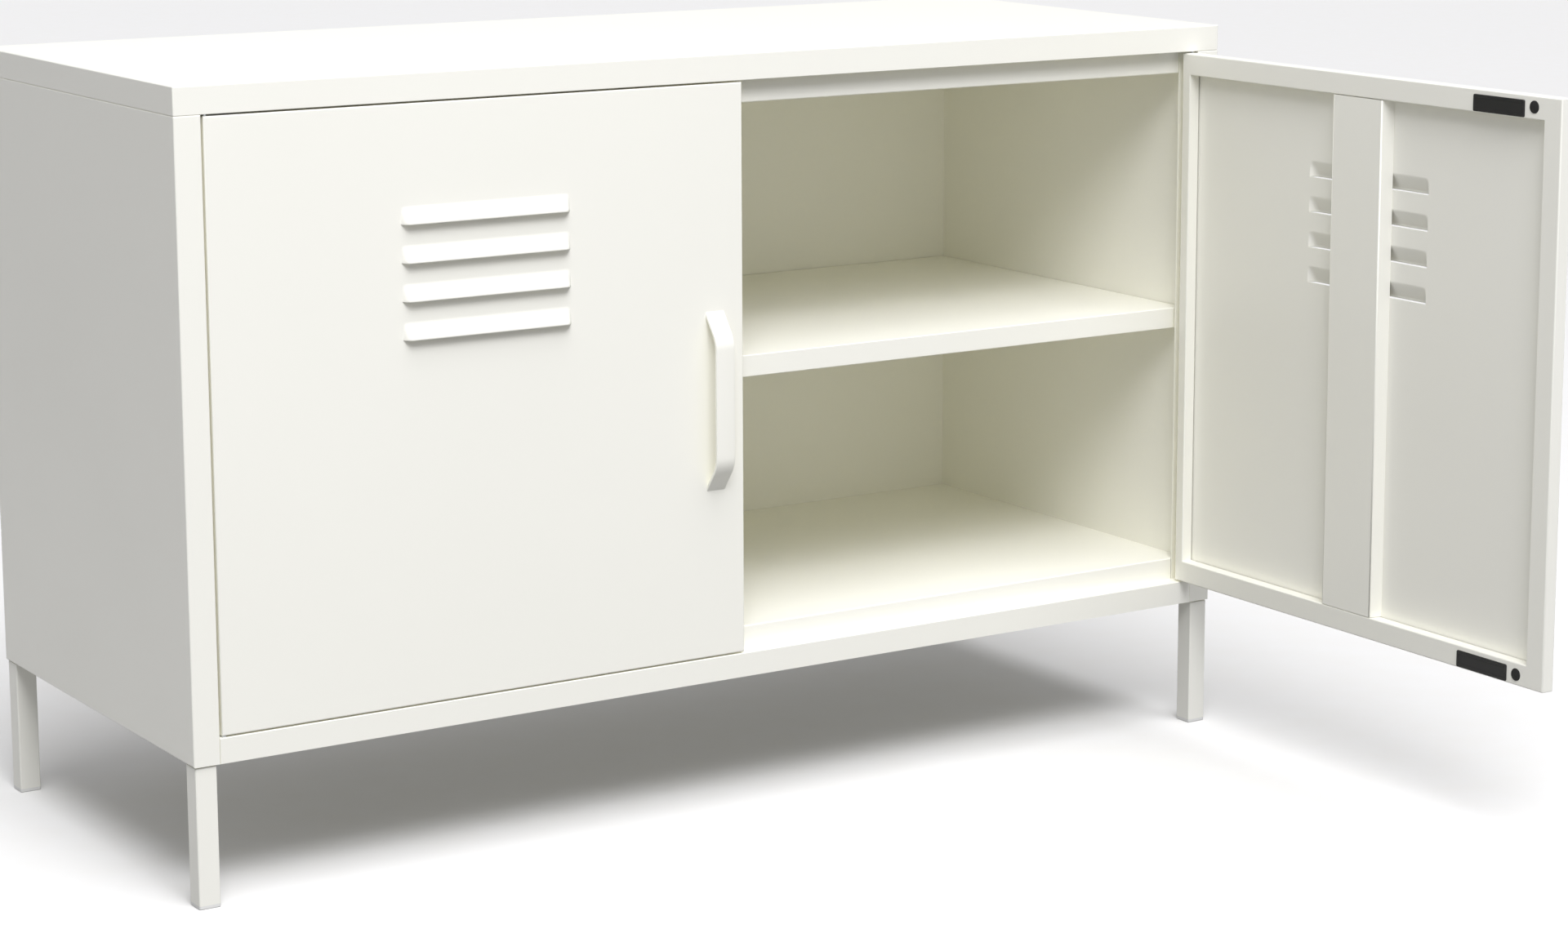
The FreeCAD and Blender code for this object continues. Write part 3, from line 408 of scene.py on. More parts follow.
louvre = {  # millimetres
    "count": 4,
    "pitch": 30.5,
    "drop": 80,  # top of the door to the first hood
    "length": 150.5,
    "height": 14.6,
    "lip": 1.6,
    "out": 6,
    "topBend": 1.5,  # how softly the slope leaves the skin
    "endRamp": 6.5,  # length of the pressed ends
    "endBend": 0.9,
    "across": 45,  # vertices along a hood
    "down": 19,  # and down its slope; the lip takes the last two rows
    "footShare": 0.99,  # only the last row lies below this share of the height
}
hoodSizes = {  # the same sizes in metres, under the names of the tree's inputs
    "Count": louvre["count"],
    "Pitch": louvre["pitch"] * mm,
    "Length": louvre["length"] * mm,
    "Height": louvre["height"] * mm,
    "Lip": louvre["lip"] * mm,
    "Out": louvre["out"] * mm,
    "Sheet": door["sheet"] * mm,
    "Top Bend": louvre["topBend"] * mm,
    "End Ramp": louvre["endRamp"] * mm,
    "End Bend": louvre["endBend"] * mm,
    "Across": louvre["across"],
    "Down": louvre["down"],
}


def louvreTree():
    # one pressed hood, open downwards, repeated down the door; its top left corner is at the origin
    tree, size = newTree("louvreHoods", hoodSizes)
    grid = addNode(tree, "GeometryNodeMeshGrid", feeds={"Size X": 1.0, "Size Y": 1.0,
                   "Vertices X": size["Across"], "Vertices Y": size["Down"]})
    position = addNode(tree, "GeometryNodeInputPosition")
    spot = addNode(tree, "ShaderNodeSeparateXYZ", feeds={0: position}).outputs

    # the grid's columns, crowded towards both ends, and its rows give the place on the hood
    turn = addNode(tree, "ShaderNodeMath", {"operation": "MULTIPLY"}, {0: spot["X"], 1: math.pi})
    crowd = addNode(tree, "ShaderNodeMath", {"operation": "SINE"}, {0: turn})
    along = addNode(tree, "ShaderNodeMath", {"operation": "MULTIPLY_ADD"}, {0: crowd, 1: 0.5, 2: 0.5})
    across = addNode(tree, "ShaderNodeMath", {"operation": "MULTIPLY"}, {0: along, 1: size["Length"]})
    rest = addNode(tree, "ShaderNodeMath", {"operation": "SUBTRACT"}, {0: size["Length"], 1: across})
    fromEnd = addNode(tree, "ShaderNodeMath", {"operation": "MINIMUM"}, {0: across, 1: rest})
    level = addNode(tree, "ShaderNodeMath", {"operation": "SUBTRACT"}, {0: 0.5, 1: spot["Y"]})
    down = addNode(tree, "ShaderNodeMath", {"operation": "MULTIPLY"}, {0: level, 1: size["Height"]})
    knee = addNode(tree, "ShaderNodeMath", {"operation": "SUBTRACT"}, {0: size["Height"], 1: size["Lip"]})

    ramps = []
    for place, full, bend in ((down, knee, size["Top Bend"]), (fromEnd, size["End Ramp"], size["End Bend"])):
        # a hyperbola: flat where it leaves the skin, then straight up to 1 at its full length
        bendSquare = addNode(tree, "ShaderNodeMath", {"operation": "MULTIPLY"}, {0: bend, 1: bend})
        heights = []
        for reach in (place, full):
            square = addNode(tree, "ShaderNodeMath", {"operation": "MULTIPLY_ADD"},
                             {0: reach, 1: reach, 2: bendSquare})
            root = addNode(tree, "ShaderNodeMath", {"operation": "SQRT"}, {0: square})
            heights.append(addNode(tree, "ShaderNodeMath", {"operation": "SUBTRACT"}, {0: root, 1: bend}))
        share = addNode(tree, "ShaderNodeMath", {"operation": "DIVIDE"}, {0: heights[0], 1: heights[1]})
        ramps.append(addNode(tree, "ShaderNodeMath", {"operation": "MINIMUM"}, {0: share, 1: 1.0}))

    # the ends ease into their full depth; both ramps together give how far the hood stands out
    short = addNode(tree, "ShaderNodeMath", {"operation": "SUBTRACT"}, {0: 1.0, 1: ramps[1]})
    dip = addNode(tree, "ShaderNodeMath", {"operation": "POWER"}, {0: short, 1: 2.0})
    rounded = addNode(tree, "ShaderNodeMath", {"operation": "SUBTRACT"}, {0: 1.0, 1: dip})
    swell = addNode(tree, "ShaderNodeMath", {"operation": "MULTIPLY"}, {0: ramps[0], 1: rounded})
    out = addNode(tree, "ShaderNodeMath", {"operation": "MULTIPLY"}, {0: swell, 1: size["Out"]})
    front = addNode(tree, "ShaderNodeMath", {"operation": "MULTIPLY"}, {0: out, 1: -1.0})
    back = addNode(tree, "ShaderNodeMath", {"operation": "SUBTRACT"}, {0: size["Sheet"], 1: out})
    height = addNode(tree, "ShaderNodeMath", {"operation": "MULTIPLY"}, {0: down, 1: -1.0})
    faces = []
    for depth in (front, back):
        point = addNode(tree, "ShaderNodeCombineXYZ", feeds={"X": across, "Y": depth, "Z": height})
        faces.append(addNode(tree, "GeometryNodeSetPosition", feeds={"Geometry": grid, "Position": point}))

    # the lip's lower edge closes the sheet between its two faces
    edge = addNode(tree, "ShaderNodeMath", {"operation": "MULTIPLY"},
                   {0: size["Height"], 1: -louvre["footShare"]})
    lowest = addNode(tree, "ShaderNodeMath", {"operation": "LESS_THAN"}, {0: spot["Z"], 1: edge})
    inwards = addNode(tree, "ShaderNodeCombineXYZ", feeds={"Y": size["Sheet"]})
    lipped = addNode(tree, "GeometryNodeExtrudeMesh", {"mode": "EDGES"},
                     {"Mesh": faces[0], "Selection": lowest, "Offset": inwards, "Offset Scale": 1.0})
    inside = addNode(tree, "GeometryNodeFlipFaces", feeds={"Mesh": faces[1]})
    hood = addNode(tree, "GeometryNodeJoinGeometry")
    for shell in (lipped, inside):
        tree.links.new(shell.outputs[0], hood.inputs[0])
    whole = addNode(tree, "GeometryNodeMergeByDistance", feeds={"Geometry": hood, "Distance": sameSpot})

    fall = addNode(tree, "ShaderNodeMath", {"operation": "MULTIPLY"}, {0: size["Pitch"], 1: -1.0})
    step = addNode(tree, "ShaderNodeCombineXYZ", feeds={"Z": fall})
    row = addNode(tree, "GeometryNodeMeshLine", feeds={"Count": size["Count"], "Offset": step})
    copies = addNode(tree, "GeometryNodeInstanceOnPoints", feeds={"Points": row, "Instance": whole})
    closeTree(tree, copies, paint)
    return tree


def doorPlace(side):
    # from a door's own frame to where it stands at rest; X runs from the hinge edge, Y back from the
    # front face and Z up
    low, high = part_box(side + "_door_panel")
    thick = door["thick"] * mm
    if side == "left":
        return Matrix.Translation((low[0], high[1] - thick, 0))
    return Matrix(((0, -1, 0, low[0] + thick), (-1, 0, 0, high[1]), (0, 0, 1, 0), (0, 0, 0, 1)))


def doorSpan(side, node):
    # lowest and highest corner of a node in its door's own frame, metres
    back = doorPlace(side).inverted()
    corners = [back @ Vector(corner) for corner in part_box(side + "_" + node)]
    return [min(c[i] for c in corners) for i in range(3)], [max(c[i] for c in corners) for i in range(3)]


def catchLoops(bm, side, level):
    # outlines of the four openings in the back flange, each on its flat part
    play = door["catchPlay"] * mm
    flat = doorSpan(side, "door_panel")[0][2] + door["bend"] * mm + play
    loops = []
    for catch in catchNames:
        kind = catch.split("_")[0]
        low, high = doorSpan(side, catch)
        radius = door["magnetCorner"] * mm if kind == "magnet" else (high[0] - low[0]) / 2
        start, end = (low[0] - play, max(low[2] - play, flat)), (high[0] + play, high[2] + play)
        loops.append(outline(bm, start, end, radius, level, door["catchSteps"][kind]))
    return loops


def foldDoor(bm, side):
    # the folded rim and the back flange with its return; gives the rims of the skin's two faces
    low, high = doorSpan(side, "door_panel")
    sheet, thick, slit = (door[key] * mm for key in ("sheet", "thick", "slit"))
    bend, turnIn = (door[key] * mm for key in ("bend", "returnBend"))
    innerBend, innerTurn = bend - sheet, turnIn - sheet
    insets = [door[key] * mm for key in ("flangeHinge", "flangeFree", "flangeEnds")]
    arc = quarter(door["bendSteps"])

    def ring(inset, level, flange=False):  # inset from the rim, or from the flange's inner edge outwards
        hinge, free, ends = [value - inset for value in insets] if flange else [inset] * 3
        radius = max(door["corner"] * mm - (0 if flange else inset), door["leastCorner"] * mm)
        return outline(bm, (low[0] + hinge, low[2] + ends), (high[0] - free, high[2] - ends), radius, level,
                       door["cornerSteps"])

    outside = [ring(bend * (1 - math.sin(a)), bend * (1 - math.cos(a))) for a in arc]
    outside += [ring(bend * (1 - math.cos(a)), thick - bend * (1 - math.sin(a))) for a in arc]
    turned = [ring(turnIn * (1 - math.sin(a)), thick - turnIn * (1 - math.cos(a)), True) for a in arc]
    turned += [ring(0, sheet + slit, True), ring(sheet, sheet + slit, True)]
    turned += [ring(turnIn - innerTurn * math.cos(a), thick - turnIn + innerTurn * math.sin(a), True)
               for a in arc]
    inside = [ring(bend - innerBend * math.sin(a), thick - bend + innerBend * math.cos(a)) for a in arc]
    inside += [ring(bend - innerBend * math.cos(a), bend - innerBend * math.sin(a)) for a in arc]
    curved = [True] * door["bendSteps"]
    loft(bm, outside, curved + [False] + curved)
    loft(bm, turned, curved + [False] * 3 + curved)
    loft(bm, inside, curved + [False] + curved)
    outer, inner = catchLoops(bm, side, thick), catchLoops(bm, side, thick - sheet)
    for catch, pair in zip(catchNames, zip(outer, inner)):
        loft(bm, pair, ["bumper" in catch])
    for loops in ([outside[-1], turned[0]] + outer, [turned[-1], inside[0]] + inner):
        fillPlane(bm, [edge for loop in loops for edge in loopEdges(bm, loop)])
    return outside[0], inside[-1]


def pressHoods(bm, side, hoodTree, rims):
    # the louvres, and the skin's two faces around them up to the rims
    low, high = doorSpan(side, "door_panel")
    length, pitch, height, sheet = (hoodSizes[key] for key in ("Length", "Pitch", "Height", "Sheet"))
    start = Vector(((low[0] + high[0] - length) / 2, 0, high[2] - louvre["drop"] * mm))
    hoods = meshFromTree("hoods", hoodTree, hoodSizes)
    hoods.transform(Matrix.Translation(start))
    before = set(bm.verts)
    bm.from_mesh(hoods)
    fresh = [v for v in bm.verts if v not in before]
    for face in {f for v in fresh for f in v.link_faces}:
        face.smooth = True
    sills = ([], [])
    for i in range(louvre["count"]):  # the skin's raw edge along the foot of each slot
        foot = start.z - i * pitch - height
        ends = [v for v in fresh if abs(v.co.z - foot) < sameSpot and v.co.y > -sameSpot
                and min(abs(v.co.x - start.x), abs(v.co.x - start.x - length)) < sameSpot]
        ends.sort(key=lambda v: (round(v.co.y, 6), v.co.x))
        bm.faces.new((ends[0], ends[1], ends[3], ends[2]))
        for k, sill in enumerate(sills):
            sill.append(bm.edges.get((ends[2 * k], ends[2 * k + 1])))
    for rim, level, sill in zip(rims, (0, sheet), sills):
        slots = [e for v in fresh for e in v.link_edges if e.is_boundary
                 and all(abs(end.co.y - level) < sameSpot for end in e.verts)]
        fillPlane(bm, list(dict.fromkeys(slots + sill + loopEdges(bm, rim))))


def makeDoor(side, hoodTree):
    # skin, folded rim, back flange with its return, and the louvres, as one closed sheet
    bm = bmesh.new()
    rims = foldDoor(bm, side)
    pressHoods(bm, side, hoodTree, rims)
    print(side, "door: open edges", openEdges(bm), "faces", len(bm.faces))
    name = side + "_door_shell"
    addPiece(name, meshFrom(name, bm, doorPlace(side)), side + "_door", "white_steel", side + "_door_panel")


hoodTree = louvreTree()
for side in doorSides:
    makeDoor(side, hoodTree)
print("doors made")

handle = {  # millimetres
    "width": 17.5,
    "thick": 3,
    "height": 151,
    "out": 17,
    "grip": 52.5,  # half of the straight grip, to the middle of the bends
    "bend": 22,  # radius of the two bends
    "bendSteps": 10,
    "edge": 0.7,  # rounding of the strap's edges
    "edgeSteps": 3,
    "reach": 4,  # how far the strap's line goes on into the door, before it's cut off at the skin
}


def strapSlope(setup):
    # how far the ends run along the door for each step towards it: the outer face meets the skin at the tip
    half = setup["thick"] / 2
    rise, run = setup["height"] / 2 - setup["grip"], setup["out"] - half
    return (rise * run - half * math.sqrt(rise ** 2 + run ** 2 - half ** 2)) / (run ** 2 - half ** 2)


strapSizes = {
    "Width": handle["width"] * mm,
    "Thickness": handle["thick"] * mm,
    "Bend": handle["bend"] * mm,
    "Edge": handle["edge"] * mm,
    "Slope": strapSlope(handle),
}


def handleTree():
    # a strap swept along its bent line, with both ends cut off flush with the door's skin
    tree, size = newTree("strapHandle", strapSizes)
    line = addNode(tree, "GeometryNodeMeshToCurve", feeds={"Mesh": size["Geometry"]})
    bent = addNode(tree, "GeometryNodeFilletCurve", {"mode": "POLY"},
                   {"Curve": line, "Radius": size["Bend"], "Count": handle["bendSteps"]})
    section = addNode(tree, "GeometryNodeCurvePrimitiveQuadrilateral",
                      feeds={"Width": size["Width"], "Height": size["Thickness"]})
    soft = addNode(tree, "GeometryNodeFilletCurve", {"mode": "POLY"},
                   {"Curve": section, "Radius": size["Edge"], "Count": handle["edgeSteps"]})
    strap = addNode(tree, "GeometryNodeCurveToMesh",
                    feeds={"Curve": bent, "Profile Curve": soft, "Fill Caps": True})
    position = addNode(tree, "GeometryNodeInputPosition")
    spot = addNode(tree, "ShaderNodeSeparateXYZ", feeds={0: position}).outputs
    past = addNode(tree, "ShaderNodeMath", {"operation": "MAXIMUM"}, {0: spot["Y"], 1: 0.0})
    back = addNode(tree, "ShaderNodeMath", {"operation": "MULTIPLY"}, {0: past, 1: -1.0})
    end = addNode(tree, "ShaderNodeMath", {"operation": "SIGN"}, {0: spot["Z"]})
    slide = addNode(tree, "ShaderNodeMath", {"operation": "MULTIPLY"}, {0: end, 1: size["Slope"]})
    slid = addNode(tree, "ShaderNodeMath", {"operation": "MULTIPLY"}, {0: slide, 1: back})
    shift = addNode(tree, "ShaderNodeCombineXYZ", feeds={"Y": back, "Z": slid})
    cut = addNode(tree, "GeometryNodeSetPosition", feeds={"Geometry": strap, "Offset": shift})
    closeTree(tree, cut, paint)
    return tree


def makeHandle(side, tree):
    low, high = doorSpan(side, "handle")
    middle = Vector(((low[0] + high[0]) / 2, 0, (low[2] + high[2]) / 2))
    thick, out, grip, reach = (handle[key] * mm for key in ("thick", "out", "grip", "reach"))
    run = out - thick / 2
    tip = grip + (reach + run) * strapSizes["Slope"]
    line = bpy.data.meshes.new("strapLine")
    points = [(0, reach, tip), (0, -run, grip), (0, -run, -grip), (0, reach, -tip)]
    line.from_pydata(points, [(0, 1), (1, 2), (2, 3)], [])
    bm = bmesh.new()
    bm.from_mesh(meshFromTree("strap", tree, strapSizes, line))
    bmesh.ops.remove_doubles(bm, verts=bm.verts, dist=sameSpot)
    for face in bm.faces:
        face.smooth = len(face.verts) == 4
    name = side + "_strap_handle"
    mesh = meshFrom(name, bm, doorPlace(side) @ Matrix.Translation(middle))
    addPiece(name, mesh, side + "_door", "white_steel", side + "_handle")


strapTree = handleTree()
for side in doorSides:
    makeHandle(side, strapTree)
print("handles made")

catches = {  # millimetres
    "bevel": 0.3,  # at the foot of each catch and of the sunk panel
    "edge": 0.5,  # rounding of the magnet housing's rim
    "edgeSteps": 3,
    "corner": 1.2,
    "leastCorner": 0.4,
    "panelInset": 2.2,
    "panelDepth": 0.35,
    "stemTaper": 0.06,  # share of the bumper's radius
    "domeRise": 0.9,
    "domeTurn": 84,  # degrees; the dome ends just short of its pole
    "domeSteps": 5,
}


def makeMagnet(side, end):
    # housing with a rounded rim and a shallow sunk panel that holds the magnet
    name = side + "_magnet_" + end
    low, high = doorSpan(side, "magnet_" + end)
    bevel, edge, corner, least = (catches[key] * mm for key in ("bevel", "edge", "corner", "leastCorner"))
    panel, depth = (catches[key] * mm for key in ("panelInset", "panelDepth"))
    bm = bmesh.new()

    def ring(inset, level):
        return outline(bm, (low[0] + inset, low[2] + inset), (high[0] - inset, high[2] - inset),
                       max(corner - inset, least), level, door["catchSteps"]["magnet"])

    rings = [ring(bevel, low[1]), ring(0, low[1] + bevel)]
    rings += [ring(edge * (1 - math.cos(a)), high[1] - edge * (1 - math.sin(a)))
              for a in quarter(catches["edgeSteps"])]
    rings += [ring(panel, high[1]), ring(panel + bevel, high[1] - depth)]
    loft(bm, rings, [False] * 2 + [True] * catches["edgeSteps"] + [False] * 2)
    closeEnds(bm, rings)
    mesh = meshFrom(name + "_housing", bm, doorPlace(side))
    addPiece(name + "_housing", mesh, side + "_door", "catch_plastic", name)


def makeBumper(side, end):
    # round stem in the flange with a domed head
    name = side + "_bumper_" + end
    low, high = doorSpan(side, "bumper_" + end)
    radius, bevel, rise = (high[0] - low[0]) / 2, catches["bevel"] * mm, catches["domeRise"] * mm
    bm = bmesh.new()

    def ring(share, level):
        inset = radius * share
        return outline(bm, (low[0] + inset, low[2] + inset), (high[0] - inset, high[2] - inset),
                       radius - inset, level, door["catchSteps"]["bumper"])

    steps = catches["domeSteps"]
    arc = [math.radians(catches["domeTurn"] * i / steps) for i in range(steps + 1)]
    rings = [ring(catches["stemTaper"], low[1]), ring(0, low[1] + bevel)]
    rings += [ring(1 - math.cos(a), high[1] - rise * (1 - math.sin(a) / math.sin(arc[-1]))) for a in arc]
    loft(bm, rings, [True] * (len(rings) - 1))
    closeEnds(bm, rings, True)
    mesh = meshFrom(name + "_dome", bm, doorPlace(side))
    addPiece(name + "_dome", mesh, side + "_door", "bumper_rubber", name)


for side in doorSides:
    for end in ("upper", "lower"):
        makeMagnet(side, end)
        makeBumper(side, end)
print("magnets and bumpers made")

fold = {"sheet": 0.8, "radius": 0.8, "steps": 5}  # millimetres; radius along the middle of the sheet


def bentPath(line, setup):
    # a line with rounded corners, each step as its point, its normal and whether the stretch to it is curved
    points = [Vector(p) for p in line]
    path = []
    for i, point in enumerate(points):
        if i in (0, len(points) - 1):
            ahead = (points[i + 1] - point if i == 0 else point - points[i - 1]).normalized()
            path.append((point, Vector((-ahead.y, ahead.x)), False))
            continue
        into, out = (point - points[i - 1]).normalized(), (points[i + 1] - point).normalized()
        turn = math.atan2(into.x * out.y - into.y * out.x, into.dot(out))
        trim = setup["radius"] * math.tan(abs(turn) / 2)
        sideways = Vector((-into.y, into.x)) * math.copysign(1, turn)
        centre = point - into * trim + sideways * setup["radius"]
        for k in range(setup["steps"] + 1):
            spoke = Matrix.Rotation(turn * k / setup["steps"], 2) @ (-sideways)
            path.append((centre + spoke * setup["radius"], -spoke * math.copysign(1, turn), k > 0))
    return path


def foldedSheet(bm, line, start, end, setup):
    # a strip of sheet bent along a line in millimetres, drawn out along Z from start to end in metres
    path = bentPath(line, setup)
    half = setup["sheet"] / 2
    rows = []
    for level in (start, end):
        lift = Vector((0, 0, level))
        rows.append([[bm.verts.new(((point + normal * shift) * mm).to_3d() + lift)
                      for point, normal, _ in path] for shift in (-half, half)])
    (lowA, lowB), (highA, highB) = rows
    for i in range(len(path) - 1):
        curved = path[i + 1][2]
        for quad, smooth in (((lowA[i], lowA[i + 1], highA[i + 1], highA[i]), curved),
                             ((highB[i], highB[i + 1], lowB[i + 1], lowB[i]), curved),
                             ((lowB[i], lowB[i + 1], lowA[i + 1], lowA[i]), False),
                             ((highA[i], highA[i + 1], highB[i + 1], highB[i]), False)):
            bm.faces.new(quad).smooth = smooth
    for i in (0, -1):
        bm.faces.new((lowA[i], highA[i], highB[i], lowB[i]))


doorHat = {"top": 61, "base": 68}  # millimetres across, at the flange's plane and at the skin


def makeStiffener(side):
    # trapezoid channel glued to the skin, from the lower flange to the upper
    low, high = doorSpan(side, "door_stiffener")
    middle = (low[0] + high[0]) / 2 / mm
    foot, crown = door["sheet"], door["thick"] - fold["sheet"] / 2
    lean = (doorHat["base"] - doorHat["top"]) / 2 / (door["thick"] - door["sheet"])
    inset = fold["sheet"] / 2 * math.hypot(1, lean)
    base, top = doorHat["base"] / 2 - inset, doorHat["top"] / 2 - inset + lean * fold["sheet"] / 2
    line = [(middle - base, foot), (middle - top, crown), (middle + top, crown), (middle + base, foot)]
    bm = bmesh.new()
    foldedSheet(bm, line, low[2], high[2], fold)
    name = side + "_door_channel"
    mesh = meshFrom(name, bm, doorPlace(side))
    addPiece(name, mesh, side + "_door", "white_steel", side + "_door_stiffener")


for side in doorSides:
    makeStiffener(side)
print("door stiffeners made")


def gridTree():
    # one part repeated at the crossings of a grid around the origin
    tree, size = newTree("partsOnGrid", {"Part": "", "Span X": 1.0, "Span Y": 1.0, "Rows X": 2, "Rows Y": 2})
    grid = addNode(tree, "GeometryNodeMeshGrid",
                   feeds={"Size X": size["Span X"], "Size Y": size["Span Y"],
                          "Vertices X": size["Rows X"], "Vertices Y": size["Rows Y"]})
    part = addNode(tree, "GeometryNodeObjectInfo", feeds={"Object": size["Part"]})
    copies = addNode(tree, "GeometryNodeInstanceOnPoints",
                     feeds={"Points": grid, "Instance": part.outputs["Geometry"]})
    closeTree(tree, copies, zinc)
    return tree


def turnedPart(profile, sides):
    # a part turned on the Z axis from (radius, height, flats) steps in millimetres; no flats is a round step
    bm = bmesh.new()
    rings = []
    for radius, height, flats in profile:
        ring = []
        for i in range(sides):
            turn, reach = 2 * math.pi * i / sides, radius
            if flats:
                sector = 2 * math.pi / flats
                reach = radius / math.cos(turn % sector - sector / 2)
            ring.append(bm.verts.new((reach * math.cos(turn) * mm, reach * math.sin(turn) * mm, height * mm)))
        rings.append(ring)
    loft(bm, rings, [False] * (len(rings) - 1))
    return bm, rings


thread = {
    "depth": 0.45,  # share of the pitch
    "tipLength": 0.5,  # share of the radius, as is the tip's width
    "tipWidth": 0.6,
}


def threadSteps(radius, low, high, pitch):
    # a screw thread drawn as rings one pitch apart, with a plain tip
    steps, height = [(radius, low, 0)], low
    while height + pitch < high - radius * thread["tipLength"]:
        steps += [(radius - pitch * thread["depth"], height + pitch / 2, 0), (radius, height + pitch, 0)]
        height += pitch
    return steps + [(radius * thread["tipWidth"], high, 0)]


def repeatOnGrid(name, bm, tree, node, span, rows):
    # one drawn part copied to the crossings of its grid, from the height at which its CAD node starts
    single = bpy.data.objects.new("single", meshFrom("single", bm))
    bpy.context.scene.collection.objects.link(single)
    mesh = meshFromTree(name, tree, {"Part": single, "Span X": span[0] * mm, "Span Y": span[1] * mm,
                        "Rows X": rows[0], "Rows Y": rows[1]})
    bpy.data.objects.remove(single)
    mesh.transform(Matrix.Translation((0, 0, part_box(node)[0][2])))
    addPiece(name, mesh, "cabinet", "zinc_steel", node)


legGrid = {"span": (979, 379), "rows": (2, 2)}  # millimetres, from leg to leg between their middles

screws = {  # millimetres
    "span": (946, 300),
    "rows": (2, 3),
    "sides": 24,
    "head": 8,
    "headThick": 2,
    "edge": 0.5,
    "crown": 0.9,  # height over which the head's rim rounds off
    "recess": 3,
    "recessDepth": 1.2,
    "recessRim": (0.4, 0.15),  # its flare, across and deep
    "shank": 4,
    "top": 9,
    "pitch": 0.7,
}


def makeScrews(setup, tree):
    # pan-head screws driven up into the cap, heads down, with a hexagonal recess
    head, recess, edge, thick = setup["head"] / 2, setup["recess"] / 2, setup["edge"], setup["headThick"]
    flare, rim = setup["recessRim"]
    profile = [(recess, setup["recessDepth"], 6), (recess, rim, 6), (recess + flare, 0, 0)]
    profile += [(head - edge * 2, 0, 0), (head - edge / 2, edge / 2, 0), (head, setup["crown"], 0)]
    profile += [(head, thick, 0)] + threadSteps(setup["shank"] / 2, thick, setup["top"], setup["pitch"])
    bm, rings = turnedPart(profile, setup["sides"])
    closeEnds(bm, rings)
    repeatOnGrid("cap_screw_set", bm, tree, "cap_screws", setup["span"], setup["rows"])


bolts = {  # millimetres
    "sides": 24,
    "shank": 6,
    "under": 10.8,  # length below the head
    "pitch": 1.0,
    "flats": 9.5,
    "headThick": 4,
    "chamfer": 0.5,
    "face": 9,
    "faceThick": 0.4,
}


def makeBolts(setup, tree):
    # hexagon-head bolts that hold the legs, heads up, with a round bearing face and chamfered corners
    under, flats, face = setup["under"], setup["flats"] / 2, setup["face"] / 2
    seat, top = under + setup["faceThick"], under + setup["headThick"]
    steps = threadSteps(setup["shank"] / 2, 0, under, setup["pitch"])
    profile = [(radius, under - height, 0) for radius, height, _ in reversed(steps)]
    profile += [(face, under, 0), (face, seat, 0), (flats, seat, 6)]
    profile += [(flats, top - setup["chamfer"], 6), (flats - setup["chamfer"] / 2, top, 0)]
    bm, rings = turnedPart(profile, setup["sides"])
    closeEnds(bm, rings)
    repeatOnGrid("leg_bolt_set", bm, tree, "leg_bolts", legGrid["span"], legGrid["rows"])


washers = {"sides": 48, "outer": 14, "hole": 6.4, "thick": 1.2, "edge": 0.15}  # millimetres


def makeWashers(setup, tree):
    # flat washers under the legs' bolts, with a small break on every edge
    outer, hole, thick, edge = setup["outer"] / 2, setup["hole"] / 2, setup["thick"], setup["edge"]
    profile = [(hole, edge, 0), (hole + edge, 0, 0), (outer - edge, 0, 0), (outer, edge, 0)]
    profile += [(radius, thick - height, 0) for radius, height, _ in reversed(profile)]
    bm, rings = turnedPart(profile, setup["sides"])
    loft(bm, [rings[-1], rings[0]], [False])
    repeatOnGrid("leg_washer_set", bm, tree, "leg_washers", legGrid["span"], legGrid["rows"])


slotTree = gridTree()
makeScrews(screws, slotTree)
makeBolts(bolts, slotTree)
makeWashers(washers, slotTree)
print("screws, bolts and washers made")

feet = {  # millimetres
    "pad": 3,
    "chamfer": 0.6,
    "corner": 1.5,
    "stemCorner": 0.8,
    "cornerSteps": 4,
    "stem": 15.4,
    "wall": 1.6,
    "lead": 1.2,  # the narrower end that goes into the leg first
    "hollow": 6,  # from the floor to the bottom of the stem's hollow
}


def makeFoot(end):
    # moulded insert: a chamfered pad under the leg and a hollow stem inside it
    low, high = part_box("foot_" + end)
    middle, half = (low + high) / 2, (high.x - low.x) / 2
    stem, cut = feet["stem"] / 2 * mm, feet["chamfer"] * mm
    inner = stem - feet["wall"] * mm
    shoulder, bottom = low.z + feet["pad"] * mm, low.z + feet["hollow"] * mm
    lead = high.z - feet["lead"] * mm
    pad = [(half - cut, low.z), (half, low.z + cut), (half, shoulder)]
    plug = [(stem, shoulder), (stem, lead), (stem - cut, high.z), (inner, high.z), (inner, bottom)]
    bm = bmesh.new()
    rings = []
    for levels, corner in ((pad, feet["corner"] * mm), (plug, feet["stemCorner"] * mm)):
        for reach, level in levels:
            rings.append(outline(bm, (-reach, -reach), (reach, reach), corner, level, feet["cornerSteps"]))
    loft(bm, rings, [False] * (len(rings) - 1))
    closeEnds(bm, rings)
    upright = Matrix(((1, 0, 0, middle.x), (0, 0, 1, middle.y), (0, 1, 0, 0), (0, 0, 0, 1)))
    name = end + "_foot_insert"
    addPiece(name, meshFrom(name, bm, upright), "cabinet", "foot_plastic", "foot_" + end)


for end in ("front_left", "front_right", "rear_left", "rear_right"):
    makeFoot(end)
print("feet made")

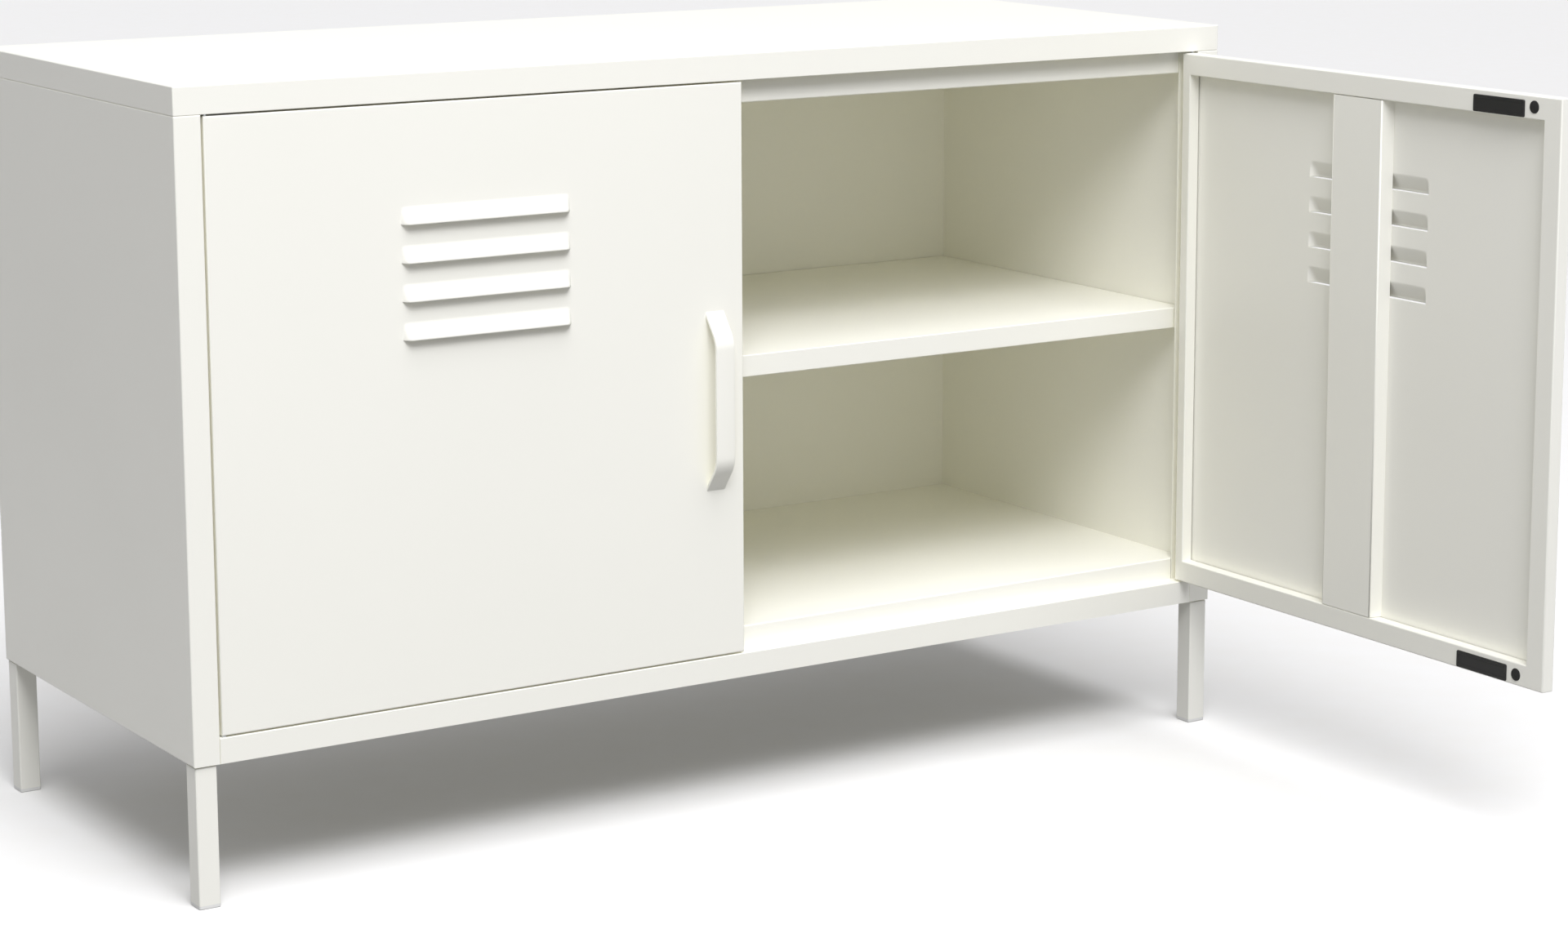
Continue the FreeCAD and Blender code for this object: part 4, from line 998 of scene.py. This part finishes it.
cap = {  # lengths in millimetres
    "soft": 0.75,  # rounding of the apron's foot
    "steps": 3,
    "zone": 1.3,  # only edges this close to the cap's outline are rounded
    "footLevel": 0.01,  # and only those this close to its lowest level
    "mergeAngle": 0.5,  # degrees; the copy's triangles that meet flatter than this become one face
    "upright": 0.5,  # a face whose normal rises less than this is upright
    "outward": 0.3,  # and one whose normal points this much away from the cabinet is an outer one
    "square": 0.999,  # a face this true to an axis is shaded flat
}


def makeCap(setup):
    # a merged copy of the CAD cap, with the foot of its apron rounded as the fold beside the seam is
    bm = bmesh.new()
    bm.from_mesh(nodes["top_cap"].data)
    bmesh.ops.remove_doubles(bm, verts=bm.verts, dist=sameSpot)
    flatter = math.radians(setup["mergeAngle"])
    bmesh.ops.dissolve_limit(bm, angle_limit=flatter, verts=bm.verts, edges=bm.edges)
    bm.normal_update()
    low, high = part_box("top_cap")
    edges = []
    for edge in bm.edges:
        middle = (edge.verts[0].co + edge.verts[1].co) / 2
        atFoot = all(abs(v.co.z - low.z) < setup["footLevel"] * mm for v in edge.verts)
        atRim = max(abs(middle.x) - high.x, abs(middle.y) - high.y) > -setup["zone"] * mm
        upright = [face.normal for face in edge.link_faces if abs(face.normal.z) < setup["upright"]]
        if atFoot and atRim and len(upright) == 1:
            away = upright[0].x * middle.x / high.x + upright[0].y * middle.y / high.y
            if away > setup["outward"]:
                edges.append(edge)
    bmesh.ops.bevel(bm, geom=edges, offset=setup["soft"] * mm, segments=setup["steps"], affect="EDGES",
                    clamp_overlap=True)
    for face in bm.faces:
        face.smooth = max(abs(part) for part in face.normal) < setup["square"]
    print("cap: open edges", openEdges(bm))
    addPiece("cap_shell", meshFrom("cap_shell", bm), "cabinet", "white_steel", "top_cap")


makeCap(cap)
print("cap made")


def addFloor(size):
    bm = bmesh.new()
    bmesh.ops.create_grid(bm, x_segments=2, y_segments=2, size=size / 2)
    mesh = meshFrom("floor", bm)
    mesh.materials.append(makeMoulded("mattFloorPaint"))
    floor = bpy.data.objects.new("floor", mesh)
    bpy.context.scene.collection.objects.link(floor)
    floor.visible_diffuse = False  # the studio's light from below stands for the floor's own bounce


addFloor(studio["floorSize"])
print("floor laid")

for part in frame["record"]["subparts"]:
    cadObject = nodes[part["node"]]
    for holder in cadObject.material_slots:
        holder.material = slotMaterials[part["material_slot"]]
print("CAD pieces painted")
